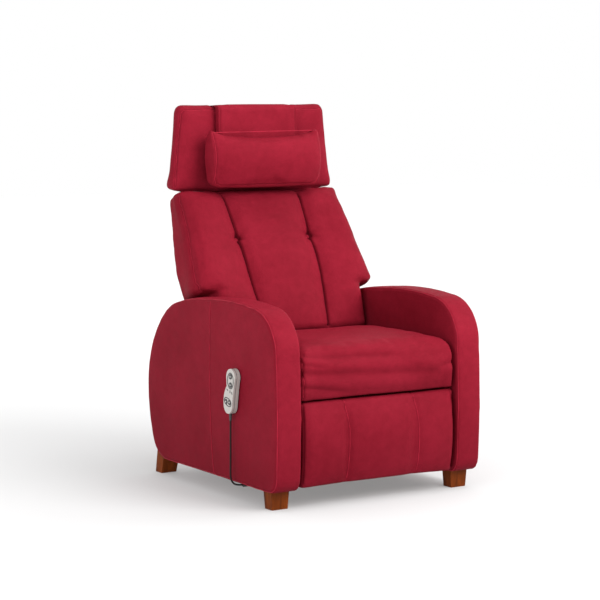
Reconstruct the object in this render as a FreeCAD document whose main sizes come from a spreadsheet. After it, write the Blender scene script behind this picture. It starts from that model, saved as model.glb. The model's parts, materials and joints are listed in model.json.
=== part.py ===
import FreeCAD, Part
import math
import os
import Sketcher
from FreeCAD import Rotation, Vector

# Power reflexology chair: padded arms on wooden feet, a quilted back with a
# hinged headrest and neck pillow, and a footrest on a motor-driven scissor linkage.
# Millimetres and degrees; x across the chair, y towards the back, z up from the floor.

SIZES = {
    # Arms: side outline given by its turning points, front is negative y
    "chair_width": 760,
    "arm_width": 95,
    "arm_sole_z": 62,
    "arm_sole_front_y": -383,
    "arm_sole_rear_y": 262,
    "arm_toe_turn_y": -410.6,
    "arm_toe_turn_z": 73.5,
    "arm_nose_y": -422,
    "arm_nose_z": 99,
    "arm_front_bow_y": -428,
    "arm_front_bow_z": 260,
    "arm_chin_y": -421,
    "arm_chin_z": 455,
    "arm_brow_y": -383,
    "arm_brow_z": 563,
    "arm_top_front_y": -282,
    "arm_top_front_z": 608,
    "arm_crown_y": -85,
    "arm_crown_z": 617,
    "arm_top_rear_y": 215,
    "arm_top_rear_z": 568,
    "arm_shoulder_y": 335,
    "arm_shoulder_z": 460,
    "arm_back_y": 382,
    "arm_back_z": 307,
    "arm_rump_y": 374,
    "arm_rump_z": 200,
    "arm_heel_y": 353,
    "arm_heel_z": 126,
    "arm_heel_turn_y": 324,
    "arm_heel_turn_z": 85,
    "band_thickness": 18,
    "arm_pad_thickness": 18,
    "frame_rail": 55,
    "soft_gap": 0.3,
    # Feet
    "front_foot_y": -349,
    "front_foot_top_width": 64,
    "front_foot_top_depth": 46,
    "foot_sole_width": 55,
    "foot_sole_depth": 41,
    "rear_foot_sole_y": 352,
    "rear_foot_rake": 30,
    "rear_foot_height": 110,
    "rear_foot_top_width": 62,
    "rear_foot_top_depth": 50,
    # Seat
    "seat_side_gap": 3,
    "seat_bottom_z": 331,
    "seat_front_y": -417,
    "seat_front_bulge": 8,
    "seat_nose_z": 385,
    "seat_roll_z": 430,
    "seat_roll_depth": 42,
    "seat_edge_z": 462,
    "seat_crown": 24,
    "seat_rear_z": 477,
    "seat_side_inset": 9,
    # Cross rails under the seat
    "front_rail_y": -330,
    "front_rail_depth": 50,
    "front_rail_height": 18,
    "deck_rail_y": -50,
    "deck_rail_depth": 40,
    "deck_rail_height": 16,
    "rear_rail_y": 236,
    "rear_rail_depth": 30,
    "rear_rail_z": 300,
    "rear_rail_height": 60,
    "strap_width": 50,
    "strap_thickness": 1.2,
    "strap_pitch": 92,
    "rear_panel_y": 340,
    "rear_panel_thickness": 14,
    "rear_panel_low_z": 76,
    "rear_panel_top_z": 430,
    "rear_panel_radius": 5,
    # Backrest, measured in its own leaning frame from the hinge
    "back_hinge_y": 175,
    "back_hinge_z": 400,
    "back_lean": 27.8,
    "back_front_depth": 135,
    "back_crown": 6,
    "back_low": 20,
    "back_shell_low": 62,
    "back_bottom_round": 12,
    "back_wing_step": 5,
    "back_wing_round": 14,
    "back_top_round": 12,
    "back_wing_low": 178,
    "back_top": 534,
    "back_side_gap": 5,
    "back_wing_overhang": 54,
    "back_mid_overhang": 36,
    "back_top_overhang": 23,
    "back_foam": 46,
    "back_rear_top": 48,
    "back_rear_low": 10,
    "back_corner": 16,
    "back_seam_low": 117,
    "back_seam_mid": 137,
    "back_seam_top": 146,
    "back_seam_sink": 11,
    "tuft_height": 350,
    "tuft_sink": 17,
    "tuft_button_seat": 12,
    "tuft_button_radius": 11,
    "tuft_button_thickness": 6,
    "back_board_inset": 25,
    "back_board_thickness": 15,
    "back_board_low": 30,
    "back_board_top": 500,
    # Back hinge
    "hinge_bar_radius": 11,
    "hinge_pin_radius": 6,
    "hinge_clearance": 0.05,
    "hinge_arm_thickness": 5,
    "hinge_arm_strip": 14,
    "hinge_arm_top": 190,
    "hinge_arm_eye": 22,
    "lever_radius": 50,
    "lever_angle": -21,
    "lever_thickness": 6,
    "lever_eye": 10,
    "lever_pin_radius": 4,
    "lever_pin_half": 12,
    # Headrest, in its own frame from the headrest hinge
    "head_hinge_height": 546,
    "head_hinge_depth": 90,
    "head_lean": 1.2,
    "head_front": 19,
    "head_low": 6,
    "head_top": 274,
    "head_rear_low": 46,
    "head_rear_top": 42,
    "head_low_overhang": 25,
    "head_top_inset": 5,
    "head_corner": 14,
    "head_board_inset": 30,
    "head_board_depth": 23,
    "head_board_thickness": 12,
    "head_board_top": 236,
    "band_low": 15,
    "band_half_width": 150,
    "band_front_thick": 26,
    "band_rear_thick": 9,
    "band_top_thick": 6,
    "band_rear_low": 150,
    "head_leaf_inset": 50,
    "head_leaf_width": 46,
    "head_leaf_thickness": 3,
    "head_knuckle_radius": 6,
    "head_pin_radius": 3,
    "leaf_reach": 60,
    # Neck pillow, in the headrest frame
    "pillow_half_width": 214,
    "pillow_low": 20,
    "pillow_top": 195,
    "pillow_thickness": 76,
    "pillow_gusset": 48,
    "pillow_front_crown": 24,
    "pillow_rear_crown": 8,
    # Footrest scissor linkage
    "drive_y": -309.93,
    "drive_z": 295.85,
    "guide_y": -272.81,
    "guide_z": 295.94,
    "drive_link_length": 161.56,
    "drive_link_angle": -51.23,
    "drive_tail_length": 38.03,
    "drive_tail_bend": -58.12,
    "lift_link_length": 142.51,
    "lift_link_angle": 120.81,
    "lift_tail_length": 33.52,
    "lift_tail_bend": 54.53,
    "panel_hole_depth": 44.74,
    "panel_hole_height": 62.04,
    "link_half_width": 10,
    "link_thickness": 4,
    "link_gap": 0.5,
    "link_pin_radius": 4,
    "link_pin_clearance": 0.05,
    "open_pin_clearance": 1.3,
    "plate_thickness": 4,
    "plate_low_z": 262,
    "plate_front_y": -328,
    "plate_rear_y": 140,
    "plate_eye": 22,
    "shaft_radius": 7,
    # Footrest panel
    "rest_side_gap": 3,
    "rest_low_z": 68,
    "rest_top_z": 322,
    "rest_rear_y": -337,
    "rest_board_thickness": 15,
    "rest_board_inset": 8,
    "rest_front_y": -415,
    "rest_crown": 20,
    "rest_edge_radius": 14,
    "rest_seam_x": 125,
    "rest_seam_sink": 9,
    "bracket_thickness": 4,
    "bracket_flange": 26,
    "bracket_low_z": 215,
    "bracket_top_z": 273,
    # Footrest gear motor
    "gearbox_x": -150,
    "gearbox_width": 46,
    "gearbox_front_wall": 18,
    "gearbox_depth": 98,
    "gearbox_low_z": 214,
    "gearbox_corner": 8,
    "motor_radius": 22,
    "motor_length": 92,
    "motor_z": 240,
    "motor_step": 14,
    # Back actuator
    "rod_eye_lead": 1.329,
    "rod_eye_drop": 0.891,
    "actuator_angle": 21.80,
    "actuator_length": 487.90,
    "housing_radius": 17,
    "housing_length": 330,
    "rod_radius": 10,
    "rod_clearance": 0.1,
    "rod_inside": 90,
    "rod_eye": 10.5,
    "rod_hole_clearance": 2,
    "fork_gap": 0.5,
    "fork_cheek": 5,
    "fork_length": 30,
    "actuator_motor_radius": 21,
    "actuator_motor_length": 95,
    "actuator_motor_drop": 41,
    "actuator_block_length": 62,
    "actuator_pin_radius": 5,
    "hanger_gap": 0.3,
    "hanger_plate": 4,
    "hanger_front": 28,
    "hanger_width": 40,
    "hanger_eye": 14,
    # Control box and cable gland at the back
    "box_side_gap": 55,
    "box_width": 120,
    "box_depth": 42,
    "box_height": 56,
    "box_corner": 4,
    "gland_side_gap": 105,
    "gland_z": 110,
    "gland_radius": 9,
    "gland_flange_radius": 14,
    "gland_bore_radius": 1.9,
    "gland_length": 24,
    # Handset on the left arm
    "handset_y": -188.5,
    "handset_z": 343,
    "handset_depth": 20,
    "lobe_radius": 26,
    "lobe_offset": 8.5,
    "lobe_rise": 44,
    "handset_split": 12,
    "button_radius": 8,
    "button_height": 4,
    "button_proud": 1.2,
    "button_travel": 1,
    "button_clearance": 0.3,
    "button_pitch_y": 10.5,
    "upper_button_z": 46,
    "mid_button_z": 20,
    "lower_button_z": -34,
    "holder_thickness": 2.5,
    "holder_half_width": 16,
    "holder_half_height": 30,
    "holder_rib": 3,
    "holder_rib_depth": 5,
    "groove_width": 3.8,
    "boot_radius": 5,
    "boot_edge": 1.5,
    "boot_tip_radius": 4,
    "boot_length": 22,
    # Handset cord
    "cord_radius": 2.8,
    "cord_gland_radius": 7,
    "cord_gland_length": 18,
    "cord_gland_inset": 28,
    "cord_gland_z": 47.5,
    "cord_sway": 4,
    "cut_over": 5,
}


class Size(float):
    """A number that keeps the sheet expression it was worked out with."""

    def __new__(cls, value, text=None):
        item = super().__new__(cls, value)
        item.text = text if text is not None else repr(float(value))
        return item

    def __add__(self, other):
        return Size(float(self) + float(other), f"({self.text} + {text_of(other)})")

    def __radd__(self, other):
        return Size(float(other) + float(self), f"({text_of(other)} + {self.text})")

    def __sub__(self, other):
        return Size(float(self) - float(other), f"({self.text} - {text_of(other)})")

    def __rsub__(self, other):
        return Size(float(other) - float(self), f"({text_of(other)} - {self.text})")

    def __mul__(self, other):
        return Size(float(self) * float(other), f"({self.text} * {text_of(other)})")

    __rmul__ = __mul__

    def __truediv__(self, other):
        return Size(float(self) / float(other), f"({self.text} / {text_of(other)})")

    def __neg__(self):
        return Size(-float(self), f"(0 - {self.text})")


def text_of(value):
    return value.text if isinstance(value, Size) else repr(float(value))


def cosine(angle):
    return Size(math.cos(math.radians(angle)), f"cos({text_of(angle)})")


def sine(angle):
    return Size(math.sin(math.radians(angle)), f"sin({text_of(angle)})")


def distance(across, up):
    text = f"sqrt({text_of(across)} * {text_of(across)} + {text_of(up)} * {text_of(up)})"
    return Size(math.hypot(across, up), text)


def bearing(across, up):
    text = f"(atan2({text_of(up)}; {text_of(across)}) / 1 deg)"
    return Size(math.degrees(math.atan2(up, across)), text)


doc = FreeCAD.newDocument("ReflexologyChair")
sheet = doc.addObject("Spreadsheet::Sheet", "Sizes")


class Sizes:
    """Every driving dimension by name, as a Size bound to its cell."""


for row, (name, value) in enumerate(SIZES.items(), start=1):
    sheet.set(f"A{row}", name)
    sheet.set(f"B{row}", str(value))
    sheet.setAlias(f"B{row}", name)
    setattr(Sizes, name, Size(value, f"Sizes.{name}"))
doc.recompute()
S = Sizes

ZERO = Size(0.0, "0")
PLANES = {"x": "YZ_Plane", "y": "XZ_Plane", "z": "XY_Plane"}
NODES = []


def turned(across, up, angle):
    """A point of a frame that is turned by angle from y towards z."""
    return (across * cosine(angle) - up * sine(angle), across * sine(angle) + up * cosine(angle))


def reach(origin, length, angle):
    """The point at a length and an angle from another, in the side view."""
    return (origin[0] + length * cosine(angle), origin[1] + length * sine(angle))


# The model's origin: on the floor, midway between its outermost points
handset_outreach = (S.soft_gap + S.holder_thickness + S.soft_gap + S.handset_depth
                    + S.button_proud)
head_hinge_y = (S.back_hinge_y + S.head_hinge_height * sine(S.back_lean)
                - S.head_hinge_depth * cosine(S.back_lean))
head_hinge_z = (S.back_hinge_z + S.head_hinge_height * cosine(S.back_lean)
                + S.head_hinge_depth * sine(S.back_lean))
band_depth = S.head_rear_top + S.soft_gap + S.band_rear_thick
band_height = S.head_top + S.soft_gap
rearmost_y = (head_hinge_y + band_depth * cosine(S.head_lean)
              + band_height * sine(S.head_lean))
foremost_y = S.rest_front_y - S.rest_crown
arm_inner_x = S.chair_width / 2 - S.arm_width
plate_outer_x = arm_inner_x - S.soft_gap
foot_x = S.chair_width / 2 - S.arm_width / 2
seat_half_width = arm_inner_x - S.seat_side_gap
rest_half_width = arm_inner_x - S.rest_side_gap
back_half_low = arm_inner_x - S.back_side_gap
back_half_wing = arm_inner_x + S.back_wing_overhang
back_half_mid = arm_inner_x + S.back_mid_overhang
back_half_top = arm_inner_x + S.back_top_overhang
back_board_half = back_half_low - S.back_board_inset
head_half_low = arm_inner_x + S.head_low_overhang
head_half_top = arm_inner_x - S.head_top_inset
head_board_half = head_half_top - S.head_board_inset
head_leaf_x = back_board_half - S.head_leaf_inset
SHIFT_X = handset_outreach / 2
SHIFT_Y = -(rearmost_y + foremost_y) / 2


def place(item, x=ZERO, y=ZERO, z=ZERO, tilt=ZERO):
    """Bind an object's placement: moved to x, y, z and tipped about the x axis."""
    item.setExpression("Placement", (
        f"placement(vector({text_of(SHIFT_X + x)}; {text_of(SHIFT_Y + y)}; {text_of(z)});"
        f" rotation(vector(1; 0; 0); {text_of(tilt)}))"))


def rectangle(low_a, high_a, low_b, high_b):
    return [(low_a, low_b), (high_a, low_b), (high_a, high_b), (low_a, high_b)]


def disc(centre, radius):
    return (centre, radius)


def slot(start, length, half_width):
    """A link's outline along the second axis: straight sides and round ends."""
    across, up = start
    top = up + length
    return [(across + half_width, top), (across - half_width, top, across, top + half_width),
            (across - half_width, up), (across + half_width, up, across, up - half_width)]


class Piece:
    """One rigid piece, built as a body whose sketches and features follow the sheet."""

    def __init__(self, label, x=ZERO, y=ZERO, z=ZERO, tilt=ZERO, keep=True):
        self.body = doc.addObject("PartDesign::Body", label)
        self.body.Label = label
        place(self.body, x, y, z, tilt)
        if keep:
            NODES.append(self.body)

    def plane(self, axis):
        for item in self.body.Origin.OriginFeatures:
            if item.Role == PLANES[axis]:
                return item
        raise RuntimeError("no such plane: " + axis)

    def sketch(self, axis, height, outlines, turn=ZERO):
        """A sketch square to an axis, at a height along the plane's own normal."""
        item = self.body.newObject("Sketcher::SketchObject", "Outline")
        item.AttachmentSupport = (self.plane(axis), "")
        item.MapMode = "FlatFace"
        item.setExpression("AttachmentOffset", (
            f"placement(vector(0; 0; {text_of(height)});"
            f" rotation(vector(0; 0; 1); {text_of(turn)}))"))
        for outline in outlines:
            if isinstance(outline, tuple):
                draw_disc(item, *outline)
            else:
                draw_outline(item, outline)
        return item

    def low_offset(self, axis, low, length):
        """The xz plane faces the front, so its heights count the other way."""
        return -(low + length) if axis == "y" else low

    def pad(self, axis, low, length, *outlines, turn=ZERO):
        item = self.sketch(axis, self.low_offset(axis, low, length), outlines, turn)
        feature = self.body.newObject("PartDesign::Pad", "Pad")
        feature.Profile = item
        feature.setExpression("Length", text_of(length))
        doc.recompute()
        return self

    def cut(self, axis, low, length, *outlines, turn=ZERO):
        before = self.body.Shape.Volume
        item = self.sketch(axis, self.low_offset(axis, low, length), outlines, turn)
        feature = self.body.newObject("PartDesign::Pocket", "Pocket")
        feature.Profile = item
        feature.Reversed = True
        feature.setExpression("Length", text_of(length))
        doc.recompute()
        if self.body.Shape.Volume >= before:
            raise RuntimeError("pocket cut nothing in " + self.body.Label)
        return self

    def loft(self, axis, low, outline_low, high, outline_high):
        low_sketch = self.sketch(axis, low, [outline_low])
        high_sketch = self.sketch(axis, high, [outline_high])
        feature = self.body.newObject("PartDesign::AdditiveLoft", "Loft")
        feature.Profile = low_sketch
        feature.Sections = [high_sketch]
        feature.Ruled = True
        doc.recompute()
        return self

    def fillet(self, radius, wanted):
        """Round the edges for which wanted(edge) holds."""
        tip = self.body.Tip
        names = [f"Edge{number}" for number, edge in enumerate(tip.Shape.Edges, start=1)
                 if wanted(edge)]
        feature = self.body.newObject("PartDesign::Fillet", "Fillet")
        feature.Base = (tip, names)
        feature.setExpression("Radius", text_of(radius))
        doc.recompute()
        return self


def bind_point(sketch, geometry, position, point):
    for kind, value in zip(("DistanceX", "DistanceY"), point):
        number = sketch.addConstraint(
            Sketcher.Constraint(kind, -1, 1, geometry, position, float(value)))
        sketch.setExpression(f"Constraints[{number}]", text_of(value))


def draw_outline(sketch, corners):
    """A closed outline; a corner of four values is reached by an arc through the last two."""
    first = sketch.GeometryCount
    flat = [Vector(float(corner[0]), float(corner[1]), 0) for corner in corners]
    ends = []
    for number, corner in enumerate(corners):
        start, finish = flat[number - 1], flat[number]
        positions = (1, 2)
        if len(corner) == 4:
            via = Vector(float(corner[2]), float(corner[3]), 0)
            if (via - start).cross(finish - start).z < 0:
                start, finish = finish, start
                positions = (2, 1)
            sketch.addGeometry(Part.Arc(start, via, finish), False)
        else:
            sketch.addGeometry(Part.LineSegment(start, finish), False)
        ends.append(positions)
    for number, corner in enumerate(corners):
        follower = (number + 1) % len(corners)
        sketch.addConstraint(Sketcher.Constraint(
            "Coincident", first + number, ends[number][1], first + follower, ends[follower][0]))
        bind_point(sketch, first + number, ends[number][1], corner[:2])
        if len(corner) == 4:
            mark = sketch.addGeometry(
                Part.Point(Vector(float(corner[2]), float(corner[3]), 0)), True)
            bind_point(sketch, mark, 1, corner[2:])
            sketch.addConstraint(Sketcher.Constraint("PointOnObject", mark, 1, first + number))


def draw_disc(sketch, centre, radius):
    circle = Part.Circle(Vector(float(centre[0]), float(centre[1]), 0), Vector(0, 0, 1),
                         float(radius))
    number = sketch.addGeometry(circle, False)
    bind_point(sketch, number, 3, centre)
    bound = sketch.addConstraint(Sketcher.Constraint("Radius", number, float(radius)))
    sketch.setExpression(f"Constraints[{bound}]", text_of(radius))


def solid(label, shape, x=ZERO, y=ZERO, z=ZERO, tilt=ZERO, keep=True):
    """A piece whose surface is lofted, such as a cushion, placed like the others."""
    item = doc.addObject("Part::Feature", label)
    item.Label = label
    item.Shape = shape
    place(item, x, y, z, tilt)
    if keep:
        NODES.append(item)
    return item


def join(kind, label, *items, keep=True):
    """A boolean of finished objects: Part::Cut of two, or Part::MultiFuse of several."""
    item = doc.addObject(kind, label)
    item.Label = label
    if kind == "Part::Cut":
        item.Base, item.Tool = items
    else:
        item.Shapes = list(items)
    if keep:
        NODES.append(item)
    return item


def group(label, *items):
    """Several like pieces kept as one named group of separate solids."""
    item = doc.addObject("Part::Compound", label)
    item.Label = label
    item.Links = list(items)
    NODES.append(item)
    return item


def sided(value, length, side):
    """Where a pad of that length starts so that its near face is at value on either side."""
    return value if side > 0 else -(value + length)


# Profiles for the soft forms
def closed_wire(points):
    """Lines and arcs through points; an item of two vectors is an arc through the first."""
    edges = []
    last = points[-1][-1] if isinstance(points[-1], tuple) else points[-1]
    for item in points:
        if isinstance(item, tuple):
            edges.append(Part.Arc(last, item[0], item[1]).toShape())
            last = item[1]
        else:
            edges.append(Part.LineSegment(last, item).toShape())
            last = item
    return Part.Wire(edges)


def ruled_form(wires):
    """A closed form through profiles, with straight rules between neighbours."""
    return Part.makeLoft(wires, True, True)


# Arm outline, used by every layer of both arms
arm_outline = [
    (S.arm_sole_front_y, S.arm_sole_z),
    (S.arm_nose_y, S.arm_nose_z, S.arm_toe_turn_y, S.arm_toe_turn_z),
    (S.arm_chin_y, S.arm_chin_z, S.arm_front_bow_y, S.arm_front_bow_z),
    (S.arm_top_front_y, S.arm_top_front_z, S.arm_brow_y, S.arm_brow_z),
    (S.arm_top_rear_y, S.arm_top_rear_z, S.arm_crown_y, S.arm_crown_z),
    (S.arm_back_y, S.arm_back_z, S.arm_shoulder_y, S.arm_shoulder_z),
    (S.arm_heel_y, S.arm_heel_z, S.arm_rump_y, S.arm_rump_z),
    (S.arm_sole_rear_y, S.arm_sole_z, S.arm_heel_turn_y, S.arm_heel_turn_z),
]
SIDES = (("left", -1), ("right", 1))


def standing_sketch(label, corners):
    """A loose sketch in the side view, at x = 0."""
    item = doc.addObject("Sketcher::SketchObject", label)
    item.Placement = FreeCAD.Placement(Vector(0, 0, 0), Rotation(Vector(1, 1, 1), 120))
    draw_outline(item, corners)
    return item


def inset(label, sketch, amount):
    item = doc.addObject("Part::Offset2D", label)
    item.Source = sketch
    item.setExpression("Value", text_of(-amount))
    return item


def layer(label, profile, low, length, keep=False):
    """A slab of a side profile from low to low + length across the chair."""
    item = doc.addObject("Part::Extrusion", label)
    item.Label = label
    item.Base = profile
    item.DirMode = "Custom"
    item.Dir = Vector(1, 0, 0)
    item.Solid = True
    item.setExpression("LengthFwd", text_of(length))
    place(item, low)
    if keep:
        NODES.append(item)
    return item


arm_sketch = standing_sketch("arm_side_outline", arm_outline)
arm_core = inset("arm_core_outline", arm_sketch, S.band_thickness)
arm_pocket = inset("arm_frame_outline", arm_sketch, S.band_thickness + S.soft_gap)
arm_window = inset("arm_window_outline", arm_sketch, S.band_thickness + S.frame_rail)
doc.recompute()

arm_solids = {}
frame_x = arm_inner_x + S.arm_pad_thickness + S.soft_gap
frame_width = S.arm_width - (S.arm_pad_thickness + S.soft_gap) * 2
for name, side in SIDES:
    # Upholstered band over the front, top and back of the arm
    whole = layer(f"{name}_arm_whole", arm_sketch, sided(arm_inner_x, S.arm_width, side),
                  S.arm_width)
    arm_solids[name] = whole
    core = layer(f"{name}_arm_core", arm_core,
                 sided(arm_inner_x - S.cut_over, S.arm_width + S.cut_over * 2, side),
                 S.arm_width + S.cut_over * 2)
    # Base board that closes the arm below and takes the feet
    board = Piece(f"{name}_arm_base_board", keep=False)
    board.pad("x", sided(frame_x, frame_width, side), frame_width,
              rectangle(S.arm_sole_front_y, S.arm_sole_rear_y, S.arm_sole_z,
                        S.arm_sole_z + S.band_thickness + S.frame_rail / 2))
    opening = Piece(f"{name}_arm_base_opening", keep=False)
    opening.pad("x", sided(frame_x - S.soft_gap, frame_width + S.soft_gap * 2, side),
                frame_width + S.soft_gap * 2,
                rectangle(S.arm_sole_front_y - S.soft_gap, S.arm_sole_rear_y + S.soft_gap,
                          S.arm_sole_z - S.cut_over,
                          S.arm_sole_z + S.band_thickness + S.cut_over))
    ring = join("Part::Cut", f"{name}_arm_ring", whole, core, keep=False)
    join("Part::Cut", f"{name}_arm_border", ring, opening.body)
    # Padded panels on the inner and outer faces
    layer(f"{name}_arm_inner_pad", arm_pocket, sided(arm_inner_x, S.arm_pad_thickness, side),
          S.arm_pad_thickness, keep=True)
    outer_x = S.chair_width / 2 - S.arm_pad_thickness
    layer(f"{name}_arm_outer_pad", arm_pocket, sided(outer_x, S.arm_pad_thickness, side),
          S.arm_pad_thickness, keep=True)
    # Plywood frame between the panels: the outline's rail and the base board
    frame = layer(f"{name}_arm_frame_whole", arm_pocket, sided(frame_x, frame_width, side),
                  frame_width)
    window = layer(f"{name}_arm_frame_window", arm_window,
                   sided(frame_x - S.cut_over, frame_width + S.cut_over * 2, side),
                   frame_width + S.cut_over * 2)
    rail = join("Part::Cut", f"{name}_arm_rail", frame, window, keep=False)
    join("Part::MultiFuse", f"{name}_arm_frame", rail, board.body)

# Feet: tapered front blocks, and raked rear blocks cut to the arm's underside
front_feet = []
rear_feet = []
for name, side in SIDES:
    foot = Piece(f"{name}_front_foot", foot_x * side, S.front_foot_y, keep=False)
    foot.loft("z", ZERO, rectangle(-S.foot_sole_width / 2, S.foot_sole_width / 2,
                                   -S.foot_sole_depth / 2, S.foot_sole_depth / 2),
              S.arm_sole_z, rectangle(-S.front_foot_top_width / 2, S.front_foot_top_width / 2,
                                      -S.front_foot_top_depth / 2, S.front_foot_top_depth / 2))
    front_feet.append(foot.body)
    block = Piece(f"{name}_rear_foot_block", foot_x * side, S.rear_foot_sole_y, keep=False)
    block.loft("z", ZERO, rectangle(-S.foot_sole_width / 2, S.foot_sole_width / 2,
                                    -S.foot_sole_depth / 2, S.foot_sole_depth / 2),
               S.rear_foot_height,
               rectangle(-S.rear_foot_top_width / 2, S.rear_foot_top_width / 2,
                         -S.rear_foot_top_depth / 2 - S.rear_foot_rake,
                         S.rear_foot_top_depth / 2 - S.rear_foot_rake))
    rear_feet.append(join("Part::Cut", f"{name}_rear_foot", block.body, arm_solids[name],
                          keep=False))
group("front_feet", *front_feet)
group("rear_feet", *rear_feet)


class Plain:
    """The same sizes as plain numbers, for the lofted forms."""


for name, value in SIZES.items():
    setattr(Plain, name, float(value))
N = Plain

# Cross rails between the arms, and the webbing that they carry
rail_half = plate_outer_x
rail_top_z = S.seat_bottom_z - S.soft_gap - S.strap_thickness
front_rail_low = rail_top_z - S.front_rail_height
deck_rail_low = rail_top_z - S.deck_rail_height
Piece("front_rail").pad("x", -rail_half, rail_half * 2, rectangle(
    S.front_rail_y, S.front_rail_y + S.front_rail_depth, front_rail_low, rail_top_z))
Piece("deck_rail").pad("x", -rail_half, rail_half * 2, rectangle(
    S.deck_rail_y, S.deck_rail_y + S.deck_rail_depth, deck_rail_low, rail_top_z))
Piece("rear_rail").pad("x", -rail_half, rail_half * 2, rectangle(
    S.rear_rail_y, S.rear_rail_y + S.rear_rail_depth, S.rear_rail_z,
    S.rear_rail_z + S.rear_rail_height))
straps = []
for number in range(-2, 3):
    strap = Piece(f"strap{number + 3}", keep=False)
    middle = S.strap_pitch * number
    strap.pad("z", rail_top_z, S.strap_thickness, rectangle(
        middle - S.strap_width / 2, middle + S.strap_width / 2, S.front_rail_y,
        S.deck_rail_y + S.deck_rail_depth))
    straps.append(strap.body)
group("seat_webbing", *straps)

# Upholstered panel that closes the base behind
rear_panel = Piece("rear_panel")
rear_panel.pad("x", -rail_half, rail_half * 2, rectangle(
    S.rear_panel_y, S.rear_panel_y + S.rear_panel_thickness, S.rear_panel_low_z,
    S.rear_panel_top_z))
rear_panel.fillet(S.rear_panel_radius,
                  lambda edge: abs(edge.tangentAt(edge.FirstParameter).x) > 0.9)

# Seat cushion: side profiles from one edge to the other, crowned in the middle
def seat_wire(x, fullness):
    inset = N.seat_side_inset * (1 - fullness)
    lean = math.radians(N.back_lean)
    front = N.seat_front_y + inset
    top = N.seat_edge_z - inset + N.seat_crown * fullness
    rear_top = N.seat_rear_z - inset
    tuck = N.back_front_depth + N.back_crown / 2 + N.soft_gap

    def back_line(z):
        rise = (z - N.back_hinge_z) * math.sin(lean)
        return N.back_hinge_y + (rise - tuck) / math.cos(lean) - inset

    low = N.seat_bottom_z
    nose = front - N.seat_front_bulge * fullness
    roll = front + N.seat_roll_depth
    middle_y = (roll + back_line(rear_top)) / 2
    return closed_wire([
        Vector(x, front + N.seat_front_bulge, low),
        (Vector(x, nose, N.seat_nose_z), Vector(x, front, N.seat_roll_z)),
        (Vector(x, front + N.seat_roll_depth / 4, (N.seat_roll_z + top * 3) / 4),
         Vector(x, roll, top)),
        (Vector(x, middle_y, max(top, rear_top) + N.seat_front_bulge * fullness),
         Vector(x, back_line(rear_top), rear_top)),
        Vector(x, back_line(low), low),
    ])


SEAT_SHARES = ((1, 0), (0.975, 0.55), (0.9, 0.85), (0.6, 0.97))
stations = [(-seat_half_width * across, full) for across, full in SEAT_SHARES]
stations += [(0.0, 1.0)] + [(-x, full) for x, full in reversed(stations)]
solid("seat_cushion", ruled_form([seat_wire(x, full) for x, full in stations]))

# Backrest forms, in the leaning frame: y away from the sitter, z up the back
back_face = N.back_front_depth
foam_rear = -back_face + N.back_foam


def back_wire(height, half, seam, fullness, sink, inset=0.0):
    front = -back_face + inset
    corner = N.back_corner
    full = front - N.back_crown * fullness
    valley = front + sink * fullness
    turn = corner * (1 - math.sqrt(0.5))
    side_full = (half - corner + seam) / 2
    return closed_wire([
        Vector(-half, foam_rear, height),
        Vector(-half, front + corner, height),
        (Vector(-half + turn, front + turn, height), Vector(-half + corner, front, height)),
        (Vector(-side_full, full, height), Vector(-seam, valley, height)),
        (Vector(0, full, height), Vector(seam, valley, height)),
        (Vector(side_full, full, height), Vector(half - corner, front, height)),
        (Vector(half - turn, front + turn, height), Vector(half, front + corner, height)),
        Vector(half, foam_rear, height),
    ])


half_at_tuft = back_half_mid + (back_half_wing - back_half_mid) / 8
tuft_reach = N.tuft_button_radius * 2
back_rounds = N.back_bottom_round
back_stations = [
    (N.back_low, back_half_low, N.back_seam_low, 0.3, N.back_seam_sink / 2, back_rounds),
    (N.back_low + back_rounds, back_half_low, N.back_seam_low, 0.5, N.back_seam_sink / 2),
    (N.back_wing_low - N.back_wing_step, back_half_low, N.back_seam_low, 1, N.back_seam_sink),
    (N.back_wing_low, back_half_wing - N.back_wing_round, N.back_seam_low, 1,
     N.back_seam_sink),
    (N.back_wing_low + N.back_wing_round, back_half_wing, N.back_seam_low, 1,
     N.back_seam_sink),
    (N.tuft_height - tuft_reach, half_at_tuft, N.back_seam_mid, 1, N.back_seam_sink),
    (N.tuft_height, half_at_tuft, N.back_seam_mid, 1, N.tuft_sink),
    (N.tuft_height + tuft_reach, back_half_mid, N.back_seam_mid, 1, N.back_seam_sink),
    (N.back_top - N.back_top_round, back_half_top, N.back_seam_top, 0.8, N.back_seam_sink),
    (N.back_top, back_half_top - N.back_top_round / 2, N.back_seam_top, 0.3,
     N.back_seam_sink, N.back_top_round),
]
BACK = dict(y=S.back_hinge_y, z=S.back_hinge_z, tilt=-S.back_lean)
solid("back_cushion", ruled_form([back_wire(*station) for station in back_stations]), **BACK)

# Plywood back board, and the padded cover behind it with a pocket for the board
board_front = -S.back_front_depth + S.back_foam + S.soft_gap
board_rear = board_front + S.back_board_thickness
Piece("back_board", **BACK).pad("y", board_front, S.back_board_thickness, rectangle(
    -back_board_half, back_board_half, S.back_board_low, S.back_board_top))


def cover_wire(height, half, rear, corner):
    front = foam_rear + N.soft_gap
    turn = corner * (1 - math.sqrt(0.5))
    return closed_wire([
        Vector(-half, front, height),
        Vector(-half, rear - corner, height),
        (Vector(-half + turn, rear - turn, height), Vector(-half + corner, rear, height)),
        Vector(half - corner, rear, height),
        (Vector(half - turn, rear - turn, height), Vector(half, rear - corner, height)),
        Vector(half, front, height),
    ])


def cover_rear(height):
    share = max(0.0, (height - N.back_wing_low) / (N.back_top - N.back_wing_low))
    return -N.back_rear_low - (N.back_rear_top - N.back_rear_low) * share


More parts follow.
